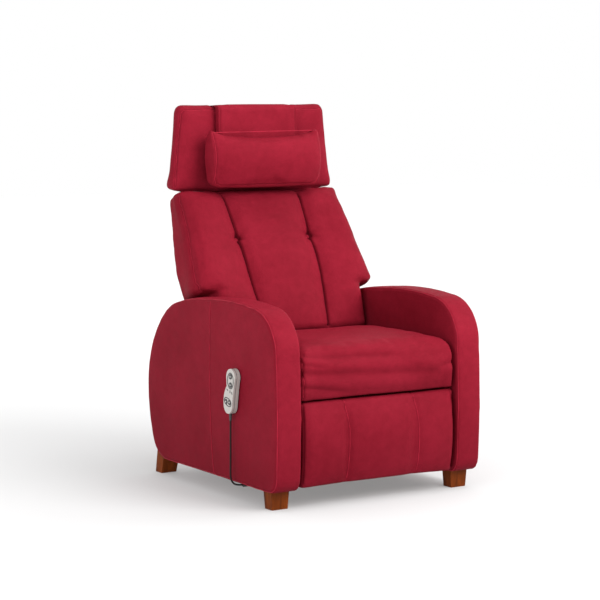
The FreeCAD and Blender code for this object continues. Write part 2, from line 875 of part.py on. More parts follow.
cover_round = N.back_corner / 2
cover_stations = [(height, half, cover_rear(height), cover_round) for height, half in (
    (N.back_shell_low, back_half_low),
    (N.back_wing_low - N.back_wing_step, back_half_low),
    (N.back_wing_low, back_half_wing - N.back_wing_round),
    (N.back_wing_low + N.back_wing_round, back_half_wing),
    (N.tuft_height + tuft_reach, back_half_mid),
    (N.back_top, back_half_top - N.back_top_round / 2))]
pocket_half = (back_board_half + N.soft_gap * 2 + N.hinge_arm_thickness + N.soft_gap)
pocket_depth = N.back_board_thickness + N.soft_gap * 2
pocket = Part.makeBox(
    pocket_half * 2, pocket_depth + N.cut_over, N.back_board_top + N.soft_gap,
    Vector(-pocket_half, foam_rear + N.soft_gap - N.cut_over, 0))
cover = ruled_form([cover_wire(*station) for station in cover_stations]).cut(pocket)
leaf_rear = foam_rear + N.soft_gap + N.back_board_thickness
for side in (-1, 1):
    leaf_width = N.head_leaf_width + N.soft_gap * 2
    slit = Part.makeBox(
        leaf_width, N.head_leaf_thickness + N.soft_gap * 3, N.leaf_reach * 2,
        Vector(head_leaf_x * side - leaf_width / 2, leaf_rear,
               N.back_board_top - N.leaf_reach - N.soft_gap))
    cover = cover.cut(slit)
solid("back_cover", cover, **BACK)

# Tuft buttons, seated in the seams of the quilting
buttons = []
for name, side in SIDES:
    button = Piece(f"{name}_tuft_button", keep=False, **BACK)
    seat_depth = -S.back_front_depth + S.tuft_button_seat - S.soft_gap
    button.pad("y", seat_depth - S.tuft_button_thickness, S.tuft_button_thickness,
               disc((S.back_seam_mid * side, S.tuft_height), S.tuft_button_radius))
    buttons.append(button.body)
group("tuft_buttons", *buttons)

# Back hinge: torque bar, side arms screwed to the board's edges, and the drive lever
arm_x = back_board_half + S.soft_gap
bar_half = arm_x + S.hinge_arm_thickness
bar = Piece("back_torque_bar", **BACK)
bar.pad("x", -bar_half, bar_half * 2, disc((ZERO, ZERO), S.hinge_bar_radius))
bar.pad("x", -plate_outer_x, plate_outer_x * 2, disc((ZERO, ZERO), S.hinge_pin_radius))
hinge_arms = []
for name, side in SIDES:
    strip_rear = board_front + S.hinge_arm_strip
    eye = S.hinge_arm_eye
    slant = 50
    root = (-eye * cosine(S.back_lean + 22), -eye * sine(S.back_lean + 22))
    crest = (eye * cosine(90 - 10), eye * sine(90 - 10))
    arm = Piece(f"{name}_back_hinge_arm", keep=False, **BACK)
    arm.pad("x", sided(arm_x, S.hinge_arm_thickness, side), S.hinge_arm_thickness, [
        (board_front, S.hinge_arm_top), (board_front, S.back_low + S.hinge_arm_eye), root,
        (crest[0], crest[1], eye, ZERO), (strip_rear, S.back_shell_low - S.soft_gap),
        (strip_rear, S.hinge_arm_top)],
        disc((ZERO, ZERO), S.hinge_bar_radius))
    hinge_arms.append(arm.body)
group("back_hinge_arms", *hinge_arms)
lever_turn = S.lever_angle + S.back_lean - 90
lever = Piece("back_drive_lever", **BACK)
lever.pad("x", -S.lever_thickness / 2, S.lever_thickness,
          slot((ZERO, ZERO), S.lever_radius, S.lever_eye), turn=lever_turn)
lever.pad("x", -S.lever_thickness / 2, S.lever_thickness,
          disc((ZERO, ZERO), S.hinge_bar_radius + S.lever_thickness / 2), turn=lever_turn)
lever.cut("x", -S.lever_thickness / 2 - S.cut_over, S.lever_thickness + S.cut_over * 2,
          disc((ZERO, ZERO), S.hinge_bar_radius))
lever.pad("x", -S.lever_pin_half, S.lever_pin_half * 2,
          disc((ZERO, S.lever_radius), S.lever_pin_radius), turn=lever_turn)

# Headrest hinge: lower leaves on the back board, upper leaves in the head block
HEAD = dict(y=head_hinge_y, z=head_hinge_z, tilt=-S.head_lean)
knuckle = (-S.head_hinge_depth, S.head_hinge_height)
leaf_parts = {"lower": [], "upper": []}
for name, side in SIDES:
    low_x = head_leaf_x - S.head_leaf_width / 2
    half_leaf = S.head_leaf_width / 2 - S.link_gap / 2
    face = board_rear + S.soft_gap
    leaf = Piece(f"{name}_lower_leaf", keep=False, **BACK)
    leaf.pad("x", sided(low_x, half_leaf, side), half_leaf, [
        (face, S.back_board_top - S.leaf_reach), (face + S.head_leaf_thickness,
                                                  S.back_board_top - S.leaf_reach),
        (face + S.head_leaf_thickness, S.back_top + S.head_knuckle_radius),
        (knuckle[0] + S.head_leaf_thickness, knuckle[1] + S.head_leaf_thickness),
        (knuckle[0] - S.head_leaf_thickness, knuckle[1] - S.head_leaf_thickness),
        (face, S.back_top + S.link_gap)])
    leaf.pad("x", sided(low_x, half_leaf, side), half_leaf, disc(knuckle, S.head_knuckle_radius))
    leaf.pad("x", sided(low_x, S.head_leaf_width, side), S.head_leaf_width,
             disc(knuckle, S.head_pin_radius))
    leaf_parts["lower"].append(leaf.body)
    high_x = head_leaf_x + S.link_gap / 2
    head_face = -S.head_front + S.head_board_depth + S.head_board_thickness + S.soft_gap
    leaf = Piece(f"{name}_upper_leaf", keep=False, **HEAD)
    leaf.pad("x", sided(high_x, half_leaf, side), half_leaf, [
        (head_face + S.head_leaf_thickness, S.leaf_reach),
        (head_face, S.leaf_reach), (head_face, S.head_knuckle_radius),
        (-S.head_leaf_thickness / 2, S.head_leaf_thickness), (S.head_leaf_thickness / 2,
                                                              -S.head_leaf_thickness),
        (head_face + S.head_leaf_thickness, S.head_leaf_thickness)])
    leaf.pad("x", sided(high_x, half_leaf, side), half_leaf,
             disc((ZERO, ZERO), S.head_knuckle_radius))
    leaf.cut("x", sided(high_x - S.cut_over, half_leaf + S.cut_over * 2, side),
             half_leaf + S.cut_over * 2,
             disc((ZERO, ZERO), S.head_pin_radius + S.link_pin_clearance))
    leaf_parts["upper"].append(leaf.body)
for kind, leaves in leaf_parts.items():
    group(f"headrest_hinge_{kind}", *leaves)

# Headrest: board inside a padded block, and the band that wraps over it
Piece("headrest_board", **HEAD).pad(
    "y", -S.head_front + S.head_board_depth, S.head_board_thickness, rectangle(
        -head_board_half, head_board_half, S.head_low + S.link_gap, S.head_board_top))


def head_wire(height, half, fullness, inset):
    share = (height - N.head_low) / (N.head_top - N.head_low)
    front = -N.head_front + inset
    rear = N.head_rear_low + (N.head_rear_top - N.head_rear_low) * share - inset
    corner = N.head_corner
    turn = corner * (1 - math.sqrt(0.5))
    return closed_wire([
        Vector(-half, front + corner, height),
        (Vector(-half + turn, front + turn, height), Vector(-half + corner, front, height)),
        Vector(half - corner, front, height),
        (Vector(half - turn, front + turn, height), Vector(half, front + corner, height)),
        Vector(half, rear - corner, height),
        (Vector(half - turn, rear - turn, height), Vector(half - corner, rear, height)),
        Vector(-half + corner, rear, height),
        (Vector(-half + turn, rear - turn, height), Vector(-half, rear - corner, height)),
    ])


head_round = N.head_corner
head_span = N.head_top - N.head_low


def head_half(height):
    share = (height - N.head_low) / head_span
    return head_half_low + (head_half_top - head_half_low) * share


head_stations = [(N.head_low, head_half(N.head_low) - head_round / 3, 0, head_round / 3)]
head_stations += [(height, head_half(height), 1, 0) for height in (
    N.head_low + head_round, N.head_low + head_span / 2, N.head_top - head_round)]
head_stations += [(N.head_top - head_round / 3, head_half(N.head_top) - head_round / 3, 1,
                   head_round / 3),
                  (N.head_top, head_half(N.head_top) - head_round, 0, head_round)]
head_form = ruled_form([head_wire(*station) for station in head_stations])
slot_front = -N.head_front + N.head_board_depth - N.soft_gap
slot_depth = N.head_board_thickness + N.soft_gap * 2
slot_half = head_board_half + N.soft_gap
head_form = head_form.cut(Part.makeBox(slot_half * 2, slot_depth, N.head_board_top + N.soft_gap,
                                       Vector(-slot_half, slot_front, 0)))
for side in (-1, 1):
    width = N.head_leaf_width / 2 + N.soft_gap * 2
    low = head_leaf_x - N.soft_gap if side > 0 else -head_leaf_x - width + N.soft_gap
    head_form = head_form.cut(Part.makeBox(
        width, slot_depth / 2 + N.head_leaf_thickness + N.soft_gap, N.leaf_reach + N.soft_gap,
        Vector(low, slot_front + slot_depth / 2, 0)))
solid("headrest_cushion", head_form, **HEAD)

# Band over the head block: down the front, over the top and partly down the back
band_in_front = -S.head_front - S.soft_gap
band_out_front = band_in_front - S.band_front_thick
band_in_top = S.head_top + S.soft_gap
band_out_top = band_in_top + S.band_top_thick
rear_fall = (S.head_rear_low - S.head_rear_top) / (S.head_top - S.head_low)
band_rear_top = S.head_rear_top + S.soft_gap
band_rear_low = band_rear_top + (S.head_top - S.band_rear_low) * rear_fall
band = Piece("headrest_band", **HEAD)
band.pad("x", -S.band_half_width, S.band_half_width * 2, [
    (band_in_front, S.band_low), (band_in_front, band_in_top), (band_rear_top, band_in_top),
    (band_rear_low, S.band_rear_low), (band_rear_low + S.band_rear_thick, S.band_rear_low),
    (band_rear_top + S.band_rear_thick, band_in_top),
    (band_rear_top, band_out_top, band_rear_top + S.band_rear_thick * 3 / 4,
     band_in_top + S.band_top_thick * 2 / 3),
    (band_in_front, band_out_top),
    (band_out_front, band_in_top - S.band_front_thick / 2,
     band_in_front - S.band_front_thick * 3 / 4, band_in_top + S.band_top_thick / 4),
    (band_out_front, S.band_low)])

# Neck pillow: side profiles from end to end, fullest in the middle
pillow_rear = -(N.head_front + N.soft_gap * 2 + N.band_front_thick)


def pillow_wire(x, fullness):
    middle_z = (N.pillow_low + N.pillow_top) / 2
    half_height = (N.pillow_top - N.pillow_low) / 2 * (0.82 + 0.18 * fullness)
    rear = pillow_rear - N.pillow_rear_crown * (1 - fullness)
    seam_rear = rear - N.pillow_rear_crown
    front = pillow_rear - N.pillow_thickness + N.pillow_front_crown
    seam_front = front + N.pillow_gusset / 8
    full_front = front - N.pillow_front_crown * fullness
    low, high = middle_z - half_height, middle_z + half_height
    puff = half_height / 12
    return closed_wire([
        (Vector(x, full_front, middle_z), Vector(x, seam_front, high)),
        (Vector(x, (seam_front + seam_rear) / 2, high + puff), Vector(x, seam_rear, high)),
        (Vector(x, rear, middle_z), Vector(x, seam_rear, low)),
        (Vector(x, (seam_front + seam_rear) / 2, low - puff), Vector(x, seam_front, low)),
    ])


PILLOW_SHARES = ((1, 0), (0.97, 0.5), (0.86, 0.85), (0.5, 1))
stations = [(-N.pillow_half_width * across, full) for across, full in PILLOW_SHARES]
stations += [(-x, full) for x, full in reversed(stations)]
solid("neck_pillow", ruled_form([pillow_wire(x, full) for x, full in stations]), **HEAD)

# Footrest linkage: side plates, then crossed links in two layers, then the panel brackets
def layer_x(number):
    """The low face of a layer of plates, counted inwards from the side plate."""
    return (plate_outer_x - S.plate_thickness
            - (S.link_thickness + S.link_gap) * number)


DRIVE = (S.drive_y, S.drive_z)
GUIDE = (S.guide_y, S.guide_z)
CROSS = reach(DRIVE, S.drive_link_length, S.drive_link_angle)
LIFT_END = reach(CROSS, S.lift_link_length, S.lift_link_angle)
DRIVE_TAIL = reach(CROSS, S.drive_tail_length, S.drive_link_angle + S.drive_tail_bend)
LIFT_TAIL = reach(CROSS, S.lift_tail_length, S.lift_link_angle + 180 + S.lift_tail_bend)
PANEL_PIN = (S.rest_rear_y + S.panel_hole_depth,
             (S.rest_low_z + S.rest_top_z) / 2 + S.panel_hole_height)
plate_top = front_rail_low - S.soft_gap
GUIDE_LAYER, LIFT_LAYER, BRACKET_LAYER = 1, 2, 3
thick, pitch = S.link_thickness, S.link_thickness + S.link_gap
pin_hole = S.link_pin_radius + S.link_pin_clearance
open_hole = S.link_pin_radius + S.open_pin_clearance


def span_slot(label, start, finish, layer_number, side, start_hole, finish_hole):
    """A straight link from one pivot to another."""
    across, up = finish[0] - start[0], finish[1] - start[1]
    length = distance(across, up)
    link = Piece(label, y=start[0], z=start[1], tilt=bearing(across, up) - 90)
    holes = [disc((ZERO, at), radius) for at, radius in
             ((ZERO, start_hole), (length, finish_hole)) if radius]
    link.pad("x", sided(layer_x(layer_number), thick, side), thick,
             slot((ZERO, ZERO), length, S.link_half_width), *holes)
    return link, length


side_plates = []
brackets = []
for name, side in SIDES:
    # Side plate with the back hinge's eye and the guide pivot's stud
    plate = Piece(f"{name}_mechanism_plate", keep=False)
    side_plates.append(plate.body)
    eye_y, eye_z = S.back_hinge_y, S.back_hinge_z
    plate.pad("x", sided(plate_outer_x - S.plate_thickness, S.plate_thickness, side),
              S.plate_thickness, [
        (S.plate_front_y, S.plate_low_z), (S.plate_rear_y, S.plate_low_z),
        (eye_y + S.plate_eye, eye_z),
        (eye_y - S.plate_eye, eye_z, eye_y, eye_z + S.plate_eye),
        (S.plate_rear_y - S.plate_eye * 2, plate_top), (S.plate_front_y, plate_top)],
        disc(DRIVE, S.shaft_radius + S.link_pin_clearance),
        disc((eye_y, eye_z), S.hinge_pin_radius + S.hinge_clearance))
    plate.pad("x", sided(layer_x(GUIDE_LAYER), pitch, side), pitch, disc(GUIDE, S.link_pin_radius))

    # Drive link: from the shaft to the crossing, with a bent tail
    drive = Piece(f"{name}_drive_link", y=DRIVE[0], z=DRIVE[1], tilt=S.drive_link_angle - 90)
    low_x = sided(layer_x(GUIDE_LAYER), thick, side)
    bend = S.drive_tail_bend
    corner = (S.drive_link_length * sine(bend), S.drive_link_length * cosine(bend))
    drive.pad("x", low_x, thick, slot((ZERO, ZERO), S.drive_link_length, S.link_half_width),
              disc((ZERO, ZERO), S.shaft_radius))
    drive.pad("x", low_x, thick, slot(corner, S.drive_tail_length, S.link_half_width), turn=bend)
    stud_x = sided(layer_x(LIFT_LAYER), pitch, side)
    drive.pad("x", stud_x, pitch, disc((ZERO, S.drive_link_length), S.link_pin_radius))
    drive.pad("x", stud_x, pitch,
              disc((corner[0], corner[1] + S.drive_tail_length), S.link_pin_radius), turn=bend)

    # Guide link beside it, whose stud holds the lift link's tail
    guide, length = span_slot(f"{name}_guide_link", GUIDE, LIFT_TAIL, GUIDE_LAYER, side,
                              pin_hole, None)
    guide.pad("x", stud_x, pitch, disc((ZERO, length), S.link_pin_radius))

    # Lift link: from the crossing up to the panel bracket, with a bent tail
    lift = Piece(f"{name}_lift_link", y=CROSS[0], z=CROSS[1], tilt=S.lift_link_angle - 90)
    low_x = sided(layer_x(LIFT_LAYER), thick, side)
    tail_turn = 180 + S.lift_tail_bend
    lift.pad("x", low_x, thick, slot((ZERO, ZERO), S.lift_link_length, S.link_half_width))
    lift.pad("x", low_x, thick, slot((ZERO, ZERO), S.lift_tail_length, S.link_half_width),
             turn=tail_turn)
    lift.cut("x", sided(layer_x(LIFT_LAYER) - S.cut_over, thick + S.cut_over * 2, side),
             thick + S.cut_over * 2, disc((ZERO, ZERO), pin_hole))
    lift.cut("x", sided(layer_x(LIFT_LAYER) - S.cut_over, thick + S.cut_over * 2, side),
             thick + S.cut_over * 2, disc((ZERO, S.lift_tail_length), open_hole),
             turn=tail_turn)
    stud_x = sided(layer_x(BRACKET_LAYER), pitch, side)
    lift.pad("x", stud_x, pitch, disc((ZERO, S.lift_link_length), S.link_pin_radius))

    # Panel link, carried by the drive link's tail
    panel, length = span_slot(f"{name}_panel_link", DRIVE_TAIL, PANEL_PIN, LIFT_LAYER, side,
                              pin_hole, None)
    panel.pad("x", stud_x, pitch, disc((ZERO, length), S.link_pin_radius))

    # Bracket on the back of the footrest panel
    bracket = Piece(f"{name}_footrest_bracket", keep=False)
    brackets.append(bracket.body)
    seat_y = S.rest_rear_y + S.soft_gap
    grip = S.link_half_width
    low_x = sided(layer_x(BRACKET_LAYER), S.bracket_thickness, side)
    bracket.pad("x", low_x, S.bracket_thickness, [
        (seat_y, S.bracket_low_z), (PANEL_PIN[0] + grip, PANEL_PIN[1] - grip / 2),
        (LIFT_END[0] + grip, LIFT_END[1]),
        (LIFT_END[0] - grip, LIFT_END[1], LIFT_END[0], LIFT_END[1] + grip),
        (seat_y, S.bracket_top_z)],
        disc(LIFT_END, pin_hole), disc(PANEL_PIN, open_hole))
    flange_x = layer_x(BRACKET_LAYER) + S.bracket_thickness - S.bracket_flange
    bracket.pad("y", seat_y, S.bracket_thickness, rectangle(
        sided(flange_x, S.bracket_flange, side),
        sided(flange_x, S.bracket_flange, side) + S.bracket_flange,
        S.bracket_low_z, S.bracket_top_z))

group("mechanism_plates", *side_plates)
group("footrest_brackets", *brackets)

# Cross shaft that turns both drive links
shaft_half = plate_outer_x - S.soft_gap
Piece("drive_shaft").pad("x", -shaft_half, shaft_half * 2, disc(DRIVE, S.shaft_radius))

# Gear motor under the front rail, with its output bore on the cross shaft
gear_front = S.drive_y - S.gearbox_front_wall
gearbox = Piece("footrest_gearbox")
gearbox.pad("x", S.gearbox_x, S.gearbox_width, rectangle(
    gear_front, gear_front + S.gearbox_depth, S.gearbox_low_z, front_rail_low - S.soft_gap),
    disc(DRIVE, S.shaft_radius + S.link_pin_clearance))
gearbox.fillet(S.gearbox_corner, lambda edge: abs(edge.tangentAt(edge.FirstParameter).x) > 0.9
               and edge.Curve.TypeId == "Part::GeomLine"
               and edge.CenterOfMass.z < float(S.motor_z))
motor = Piece("footrest_motor")
motor_axis = (S.gearbox_x + S.gearbox_width / 2, S.motor_z)
motor_y = gear_front + S.gearbox_depth
motor.pad("y", motor_y, S.motor_length, disc(motor_axis, S.motor_radius))
motor.pad("y", motor_y + S.motor_length, S.motor_step / 2, disc(motor_axis, S.motor_step))

# Footrest panel: board, and a pad with three channels across its front
Piece("footrest_board").pad("y", S.rest_rear_y - S.rest_board_thickness, S.rest_board_thickness,
                            rectangle(-rest_half_width + S.rest_board_inset,
                                      rest_half_width - S.rest_board_inset,
                                      S.rest_low_z + S.rest_board_inset,
                                      S.rest_top_z - S.rest_board_inset))


def rest_wire(x, fullness):
    rear = N.rest_rear_y - N.rest_board_thickness - N.soft_gap
    front = N.rest_front_y + N.rest_seam_sink * (1 - fullness)
    bulge = N.rest_crown * fullness
    low, high = N.rest_low_z, N.rest_top_z
    radius = N.rest_edge_radius
    turn = radius * (1 - math.sqrt(0.5))
    return closed_wire([
        Vector(x, rear, low),
        Vector(x, front + radius, low),
        (Vector(x, front + turn, low + turn), Vector(x, front, low + radius)),
        (Vector(x, front - bulge, (low + high) / 2), Vector(x, front, high - radius)),
        (Vector(x, front + turn, high - turn), Vector(x, front + radius, high)),
        Vector(x, rear, high),
    ])


REST_SHARES = ((0, 0.4), (0.08, 0.85), (0.5, 1), (0.92, 0.85))
seams = [-rest_half_width, -N.rest_seam_x, N.rest_seam_x, rest_half_width]
rest_stations = [(low + (high - low) * along, full)
                 for low, high in zip(seams, seams[1:]) for along, full in REST_SHARES]
rest_stations.append((rest_half_width, REST_SHARES[0][1]))
solid("footrest_pad", ruled_form([rest_wire(x, full) for x, full in rest_stations]))

# Back actuator: housing, rod and hanger, in line with the actuator's own axis
lever_pin = reach((S.back_hinge_y, S.back_hinge_z), S.lever_radius, S.lever_angle)
hang_y = lever_pin[0] + S.rod_eye_lead - S.actuator_length * cosine(S.actuator_angle)
hang_z = lever_pin[1] - S.rod_eye_drop - S.actuator_length * sine(S.actuator_angle)
ACTUATOR = dict(y=hang_y, z=hang_z, tilt=S.actuator_angle)
housing = Piece("back_actuator_housing", **ACTUATOR)
hang_half = S.housing_radius + S.fork_gap
pin_bore = disc((ZERO, ZERO), S.actuator_pin_radius + S.link_pin_clearance)
housing.pad("x", -hang_half, hang_half * 2, rectangle(
    -S.hanger_eye, S.actuator_block_length, -S.actuator_motor_drop - S.actuator_motor_radius,
    S.housing_radius), pin_bore)
housing.pad("y", S.actuator_block_length, S.housing_length - S.actuator_block_length,
            disc((ZERO, ZERO), S.housing_radius))
bore_start = S.housing_length - S.rod_inside - S.actuator_motor_drop
housing.cut("y", bore_start, S.housing_length + S.cut_over - bore_start,
            disc((ZERO, ZERO), S.rod_radius + S.rod_clearance))
housing.pad("y", S.actuator_block_length, S.actuator_motor_length,
          disc((ZERO, -S.actuator_motor_drop), S.actuator_motor_radius))
rod_start = S.housing_length - S.rod_inside
fork_start = S.actuator_length - S.fork_length
fork_half = S.lever_thickness / 2 + S.fork_gap + S.fork_cheek
rod = Piece("back_actuator_rod", **ACTUATOR)
rod.pad("y", rod_start, fork_start - rod_start, disc((ZERO, ZERO), S.rod_radius))
rod.pad("x", -fork_half, fork_half * 2, rectangle(
    fork_start - S.rod_radius, fork_start, -S.rod_eye, S.rod_eye))
eye_hole = disc((S.actuator_length, ZERO), S.lever_pin_radius + S.rod_hole_clearance)
for cheek_x in (-fork_half, fork_half - S.fork_cheek):
    rod.pad("x", cheek_x, S.fork_cheek, [
        (fork_start, -S.rod_eye), (S.actuator_length, -S.rod_eye),
        (S.actuator_length, S.rod_eye, S.actuator_length + S.rod_eye, ZERO),
        (fork_start, S.rod_eye)], eye_hole)
hanger = Piece("actuator_hanger")
hang_top = front_rail_low - S.soft_gap
rail_rear = S.front_rail_y + S.front_rail_depth
plate_half = hang_half + S.hanger_gap
for side in (-1, 1):
    hanger.pad("x", sided(plate_half, S.hanger_plate, side), S.hanger_plate, [
        (rail_rear - S.hanger_front + S.hanger_eye, hang_top),
        (hang_y - S.hanger_eye, hang_z),
        (hang_y + S.hanger_eye, hang_z, hang_y, hang_z - S.hanger_eye),
        (rail_rear - S.hanger_front + S.hanger_eye + S.hanger_width, hang_top)])
hanger.pad("x", -plate_half - S.hanger_plate, (plate_half + S.hanger_plate) * 2,
           disc((hang_y, hang_z), S.actuator_pin_radius))

# Control box on the rear rail, and the cable gland in the rear panel
control = Piece("control_box")
box_y = S.rear_rail_y - S.soft_gap - S.box_depth
box_x = plate_outer_x - S.box_side_gap - S.box_width
control.pad("y", box_y, S.box_depth, rectangle(
    box_x, box_x + S.box_width, S.rear_rail_z, S.rear_rail_z + S.box_height))
control.fillet(S.box_corner, lambda edge: abs(edge.tangentAt(edge.FirstParameter).y) > 0.9)
gland = Piece("power_gland")
gland_x = plate_outer_x - S.gland_side_gap
gland_y = S.rear_panel_y + S.rear_panel_thickness
bore = disc((gland_x, S.gland_z), S.gland_bore_radius)
gland.pad("y", gland_y, S.box_corner, disc((gland_x, S.gland_z), S.gland_flange_radius), bore)
gland.pad("y", gland_y + S.box_corner, S.gland_length - S.box_corner,
          disc((gland_x, S.gland_z), S.gland_radius), bore)

# Handset on the left arm: holder, two shells, buttons and cord boot
holder_x = -S.chair_width / 2 - S.soft_gap
shell_x = holder_x - S.holder_thickness - S.soft_gap
split_x = shell_x - S.handset_split
face_x = shell_x - S.handset_depth
front_part = S.handset_depth - S.handset_split
hy, hz = S.handset_y, S.handset_z
lobe, shift, rise = S.lobe_radius, S.lobe_offset, S.lobe_rise
flat = S.boot_radius + S.boot_edge
diagonal = lobe * cosine(45)
handset_outline = [
    (hy - lobe - shift, hz + rise, hy - lobe + shift / 8, hz),
    (hy + lobe - shift, hz + rise, hy - shift, hz + rise + lobe),
    (hy + lobe - shift * 5 / 4, hz + rise / 3),
    (hy + lobe + shift, hz - rise, hy + lobe + shift * 2 / 3, hz - rise / 3),
    (hy + shift + flat, hz - rise - lobe, hy + shift + diagonal, hz - rise - diagonal),
    (hy + shift - flat, hz - rise - lobe),
    (hy - lobe + shift, hz - rise, hy + shift - diagonal, hz - rise - diagonal),
]
holder = Piece("handset_holder")
holder.pad("x", holder_x - S.holder_thickness, S.holder_thickness, rectangle(
    hy - S.holder_half_width, hy + S.holder_half_width,
    hz - S.holder_half_height, hz + S.holder_half_height))
holder.pad("x", holder_x - S.holder_thickness - S.holder_rib_depth, S.holder_rib_depth,
           rectangle(hy - S.holder_rib / 2, hy + S.holder_rib / 2,
                     hz - S.holder_half_height, hz + S.holder_half_height))
back_shell = Piece("handset_back_shell")
back_shell.pad("x", split_x, S.handset_split, handset_outline)
groove_top = hz + S.holder_half_height + S.soft_gap
back_shell.cut("x", shell_x - S.holder_rib_depth - S.soft_gap,
               S.holder_rib_depth + S.soft_gap + S.cut_over,
               rectangle(hy - S.groove_width / 2, hy + S.groove_width / 2,
                         hz - rise - lobe - S.cut_over, groove_top))
BUTTONS = (
    ("handset_button_top", hy - shift, hz + S.upper_button_z, S.button_radius),
    ("handset_button_second", hy - shift, hz + S.mid_button_z, S.button_radius),
    ("handset_button_front", hy + shift - S.button_pitch_y, hz + S.lower_button_z,
     S.button_radius),
    ("handset_button_rear", hy + shift + S.button_pitch_y, hz + S.lower_button_z,
     S.button_radius),
)
well_depth = S.button_height - S.button_proud + S.button_travel + S.button_clearance
front_shell = Piece("handset_front_shell")
front_shell.pad("x", face_x, front_part, handset_outline)
front_shell.cut("x", face_x - S.cut_over, well_depth + S.cut_over, *[
    disc((across, up), radius + S.button_clearance) for _, across, up, radius in BUTTONS])
for label, across, up, radius in BUTTONS:
    button = Piece(label)
    button.pad("x", face_x - S.button_proud, S.button_height, disc((across, up), radius))
boot_x = shell_x - S.handset_depth / 2
boot_top = hz - rise - lobe
boot = doc.addObject("Part::Cone", "handset_boot")
boot.Label = "handset_boot"
boot.setExpression("Radius1", text_of(S.boot_tip_radius))
boot.setExpression("Radius2", text_of(S.boot_radius))
boot.setExpression("Height", text_of(S.boot_length))
place(boot, boot_x, hy + shift, boot_top - S.boot_length)
NODES.append(boot)

# Handset cord: down beside the arm and inwards under it to a gland
gland_face_x = S.cord_gland_inset - S.chair_width / 2
grommet = Piece("cord_gland")
cord_y = hy + shift - S.cord_sway
grommet.pad("x", gland_face_x, S.cord_gland_length, [
    (cord_y + S.cord_gland_radius, S.cord_gland_z),
    (cord_y + S.cord_gland_radius, S.arm_sole_z), (cord_y - S.cord_gland_radius, S.arm_sole_z),
    (cord_y - S.cord_gland_radius, S.cord_gland_z)][1:] + [
    (cord_y + S.cord_gland_radius, S.cord_gland_z, cord_y, S.cord_gland_z - S.cord_gland_radius)])
cord_start = Vector(float(boot_x), float(hy + shift),
                    float(boot_top - S.boot_length - S.soft_gap))
cord_end = Vector(float(gland_face_x - S.soft_gap), float(cord_y), N.cord_gland_z)
cord_reach = cord_end - cord_start
ROUTE_SHARES = ((0, 0, 0), (0.005, -0.3, 0.245), (-0.02, 0.25, 0.5), (-0.04, 0.3, 0.74),
                (-0.07, 0.9, 0.9086), (0.377, 0.8, 1), (1, 1, 1))
CORD_ROUTE = [cord_start + Vector(cord_reach.x * across, cord_reach.y * along,
                                  cord_reach.z * down) for across, along, down in ROUTE_SHARES]
ROUND_SHARE = 0.45


def cord_path(points):
    """Straight runs joined by tangent arcs, and the radii of those arcs."""
    edges = []
    radii = []
    start = points[0]
    for before, here, after in zip(points, points[1:], points[2:]):
        arrive = here - before
        leave = after - here
        short = min(arrive.Length, leave.Length) * ROUND_SHARE
        half_turn = arrive.getAngle(leave) / 2
        radii.append(short / math.tan(half_turn))
        arrive.normalize()
        leave.normalize()
        enter = here - arrive * short
        depart = here + leave * short
        bisector = leave - arrive
        bisector.normalize()
        middle = here + bisector * (radii[-1] / math.cos(half_turn) - radii[-1])
        edges.append(Part.LineSegment(start, enter).toShape())
        edges.append(Part.Arc(enter, middle, depart).toShape())
        start = depart
    edges.append(Part.LineSegment(start, points[-1]).toShape())
    return Part.Wire(edges), radii


path, cord_radii = cord_path(CORD_ROUTE)
ring = Part.Wire([Part.Circle(CORD_ROUTE[0], CORD_ROUTE[1] - CORD_ROUTE[0],
                              N.cord_radius).toShape()])
cord = path.makePipeShell([ring], True, False)
solid("handset_cord", cord)
print("cord bend radii:", [round(radius, 1) for radius in cord_radii])
print("cord length:", round(path.Length, 1), "volume ratio:",
      round(cord.Volume / (math.pi * N.cord_radius ** 2 * path.Length), 4))

# Check every object, then write one file for each piece
doc.recompute()
for item in doc.Objects:
    if {"Invalid", "Error"} & set(item.State):
        raise RuntimeError(f"{item.Label}: {item.State}")
for item in NODES:
    if item.Shape.isNull() or not item.Shape.isValid() or not item.Shape.Solids:
        raise RuntimeError(f"{item.Label} has no sound shape")
os.makedirs("parts", exist_ok=True)
for item in NODES:
    item.Shape.exportStep(f"parts/{item.Label}.step")
print(len(NODES), "pieces written")
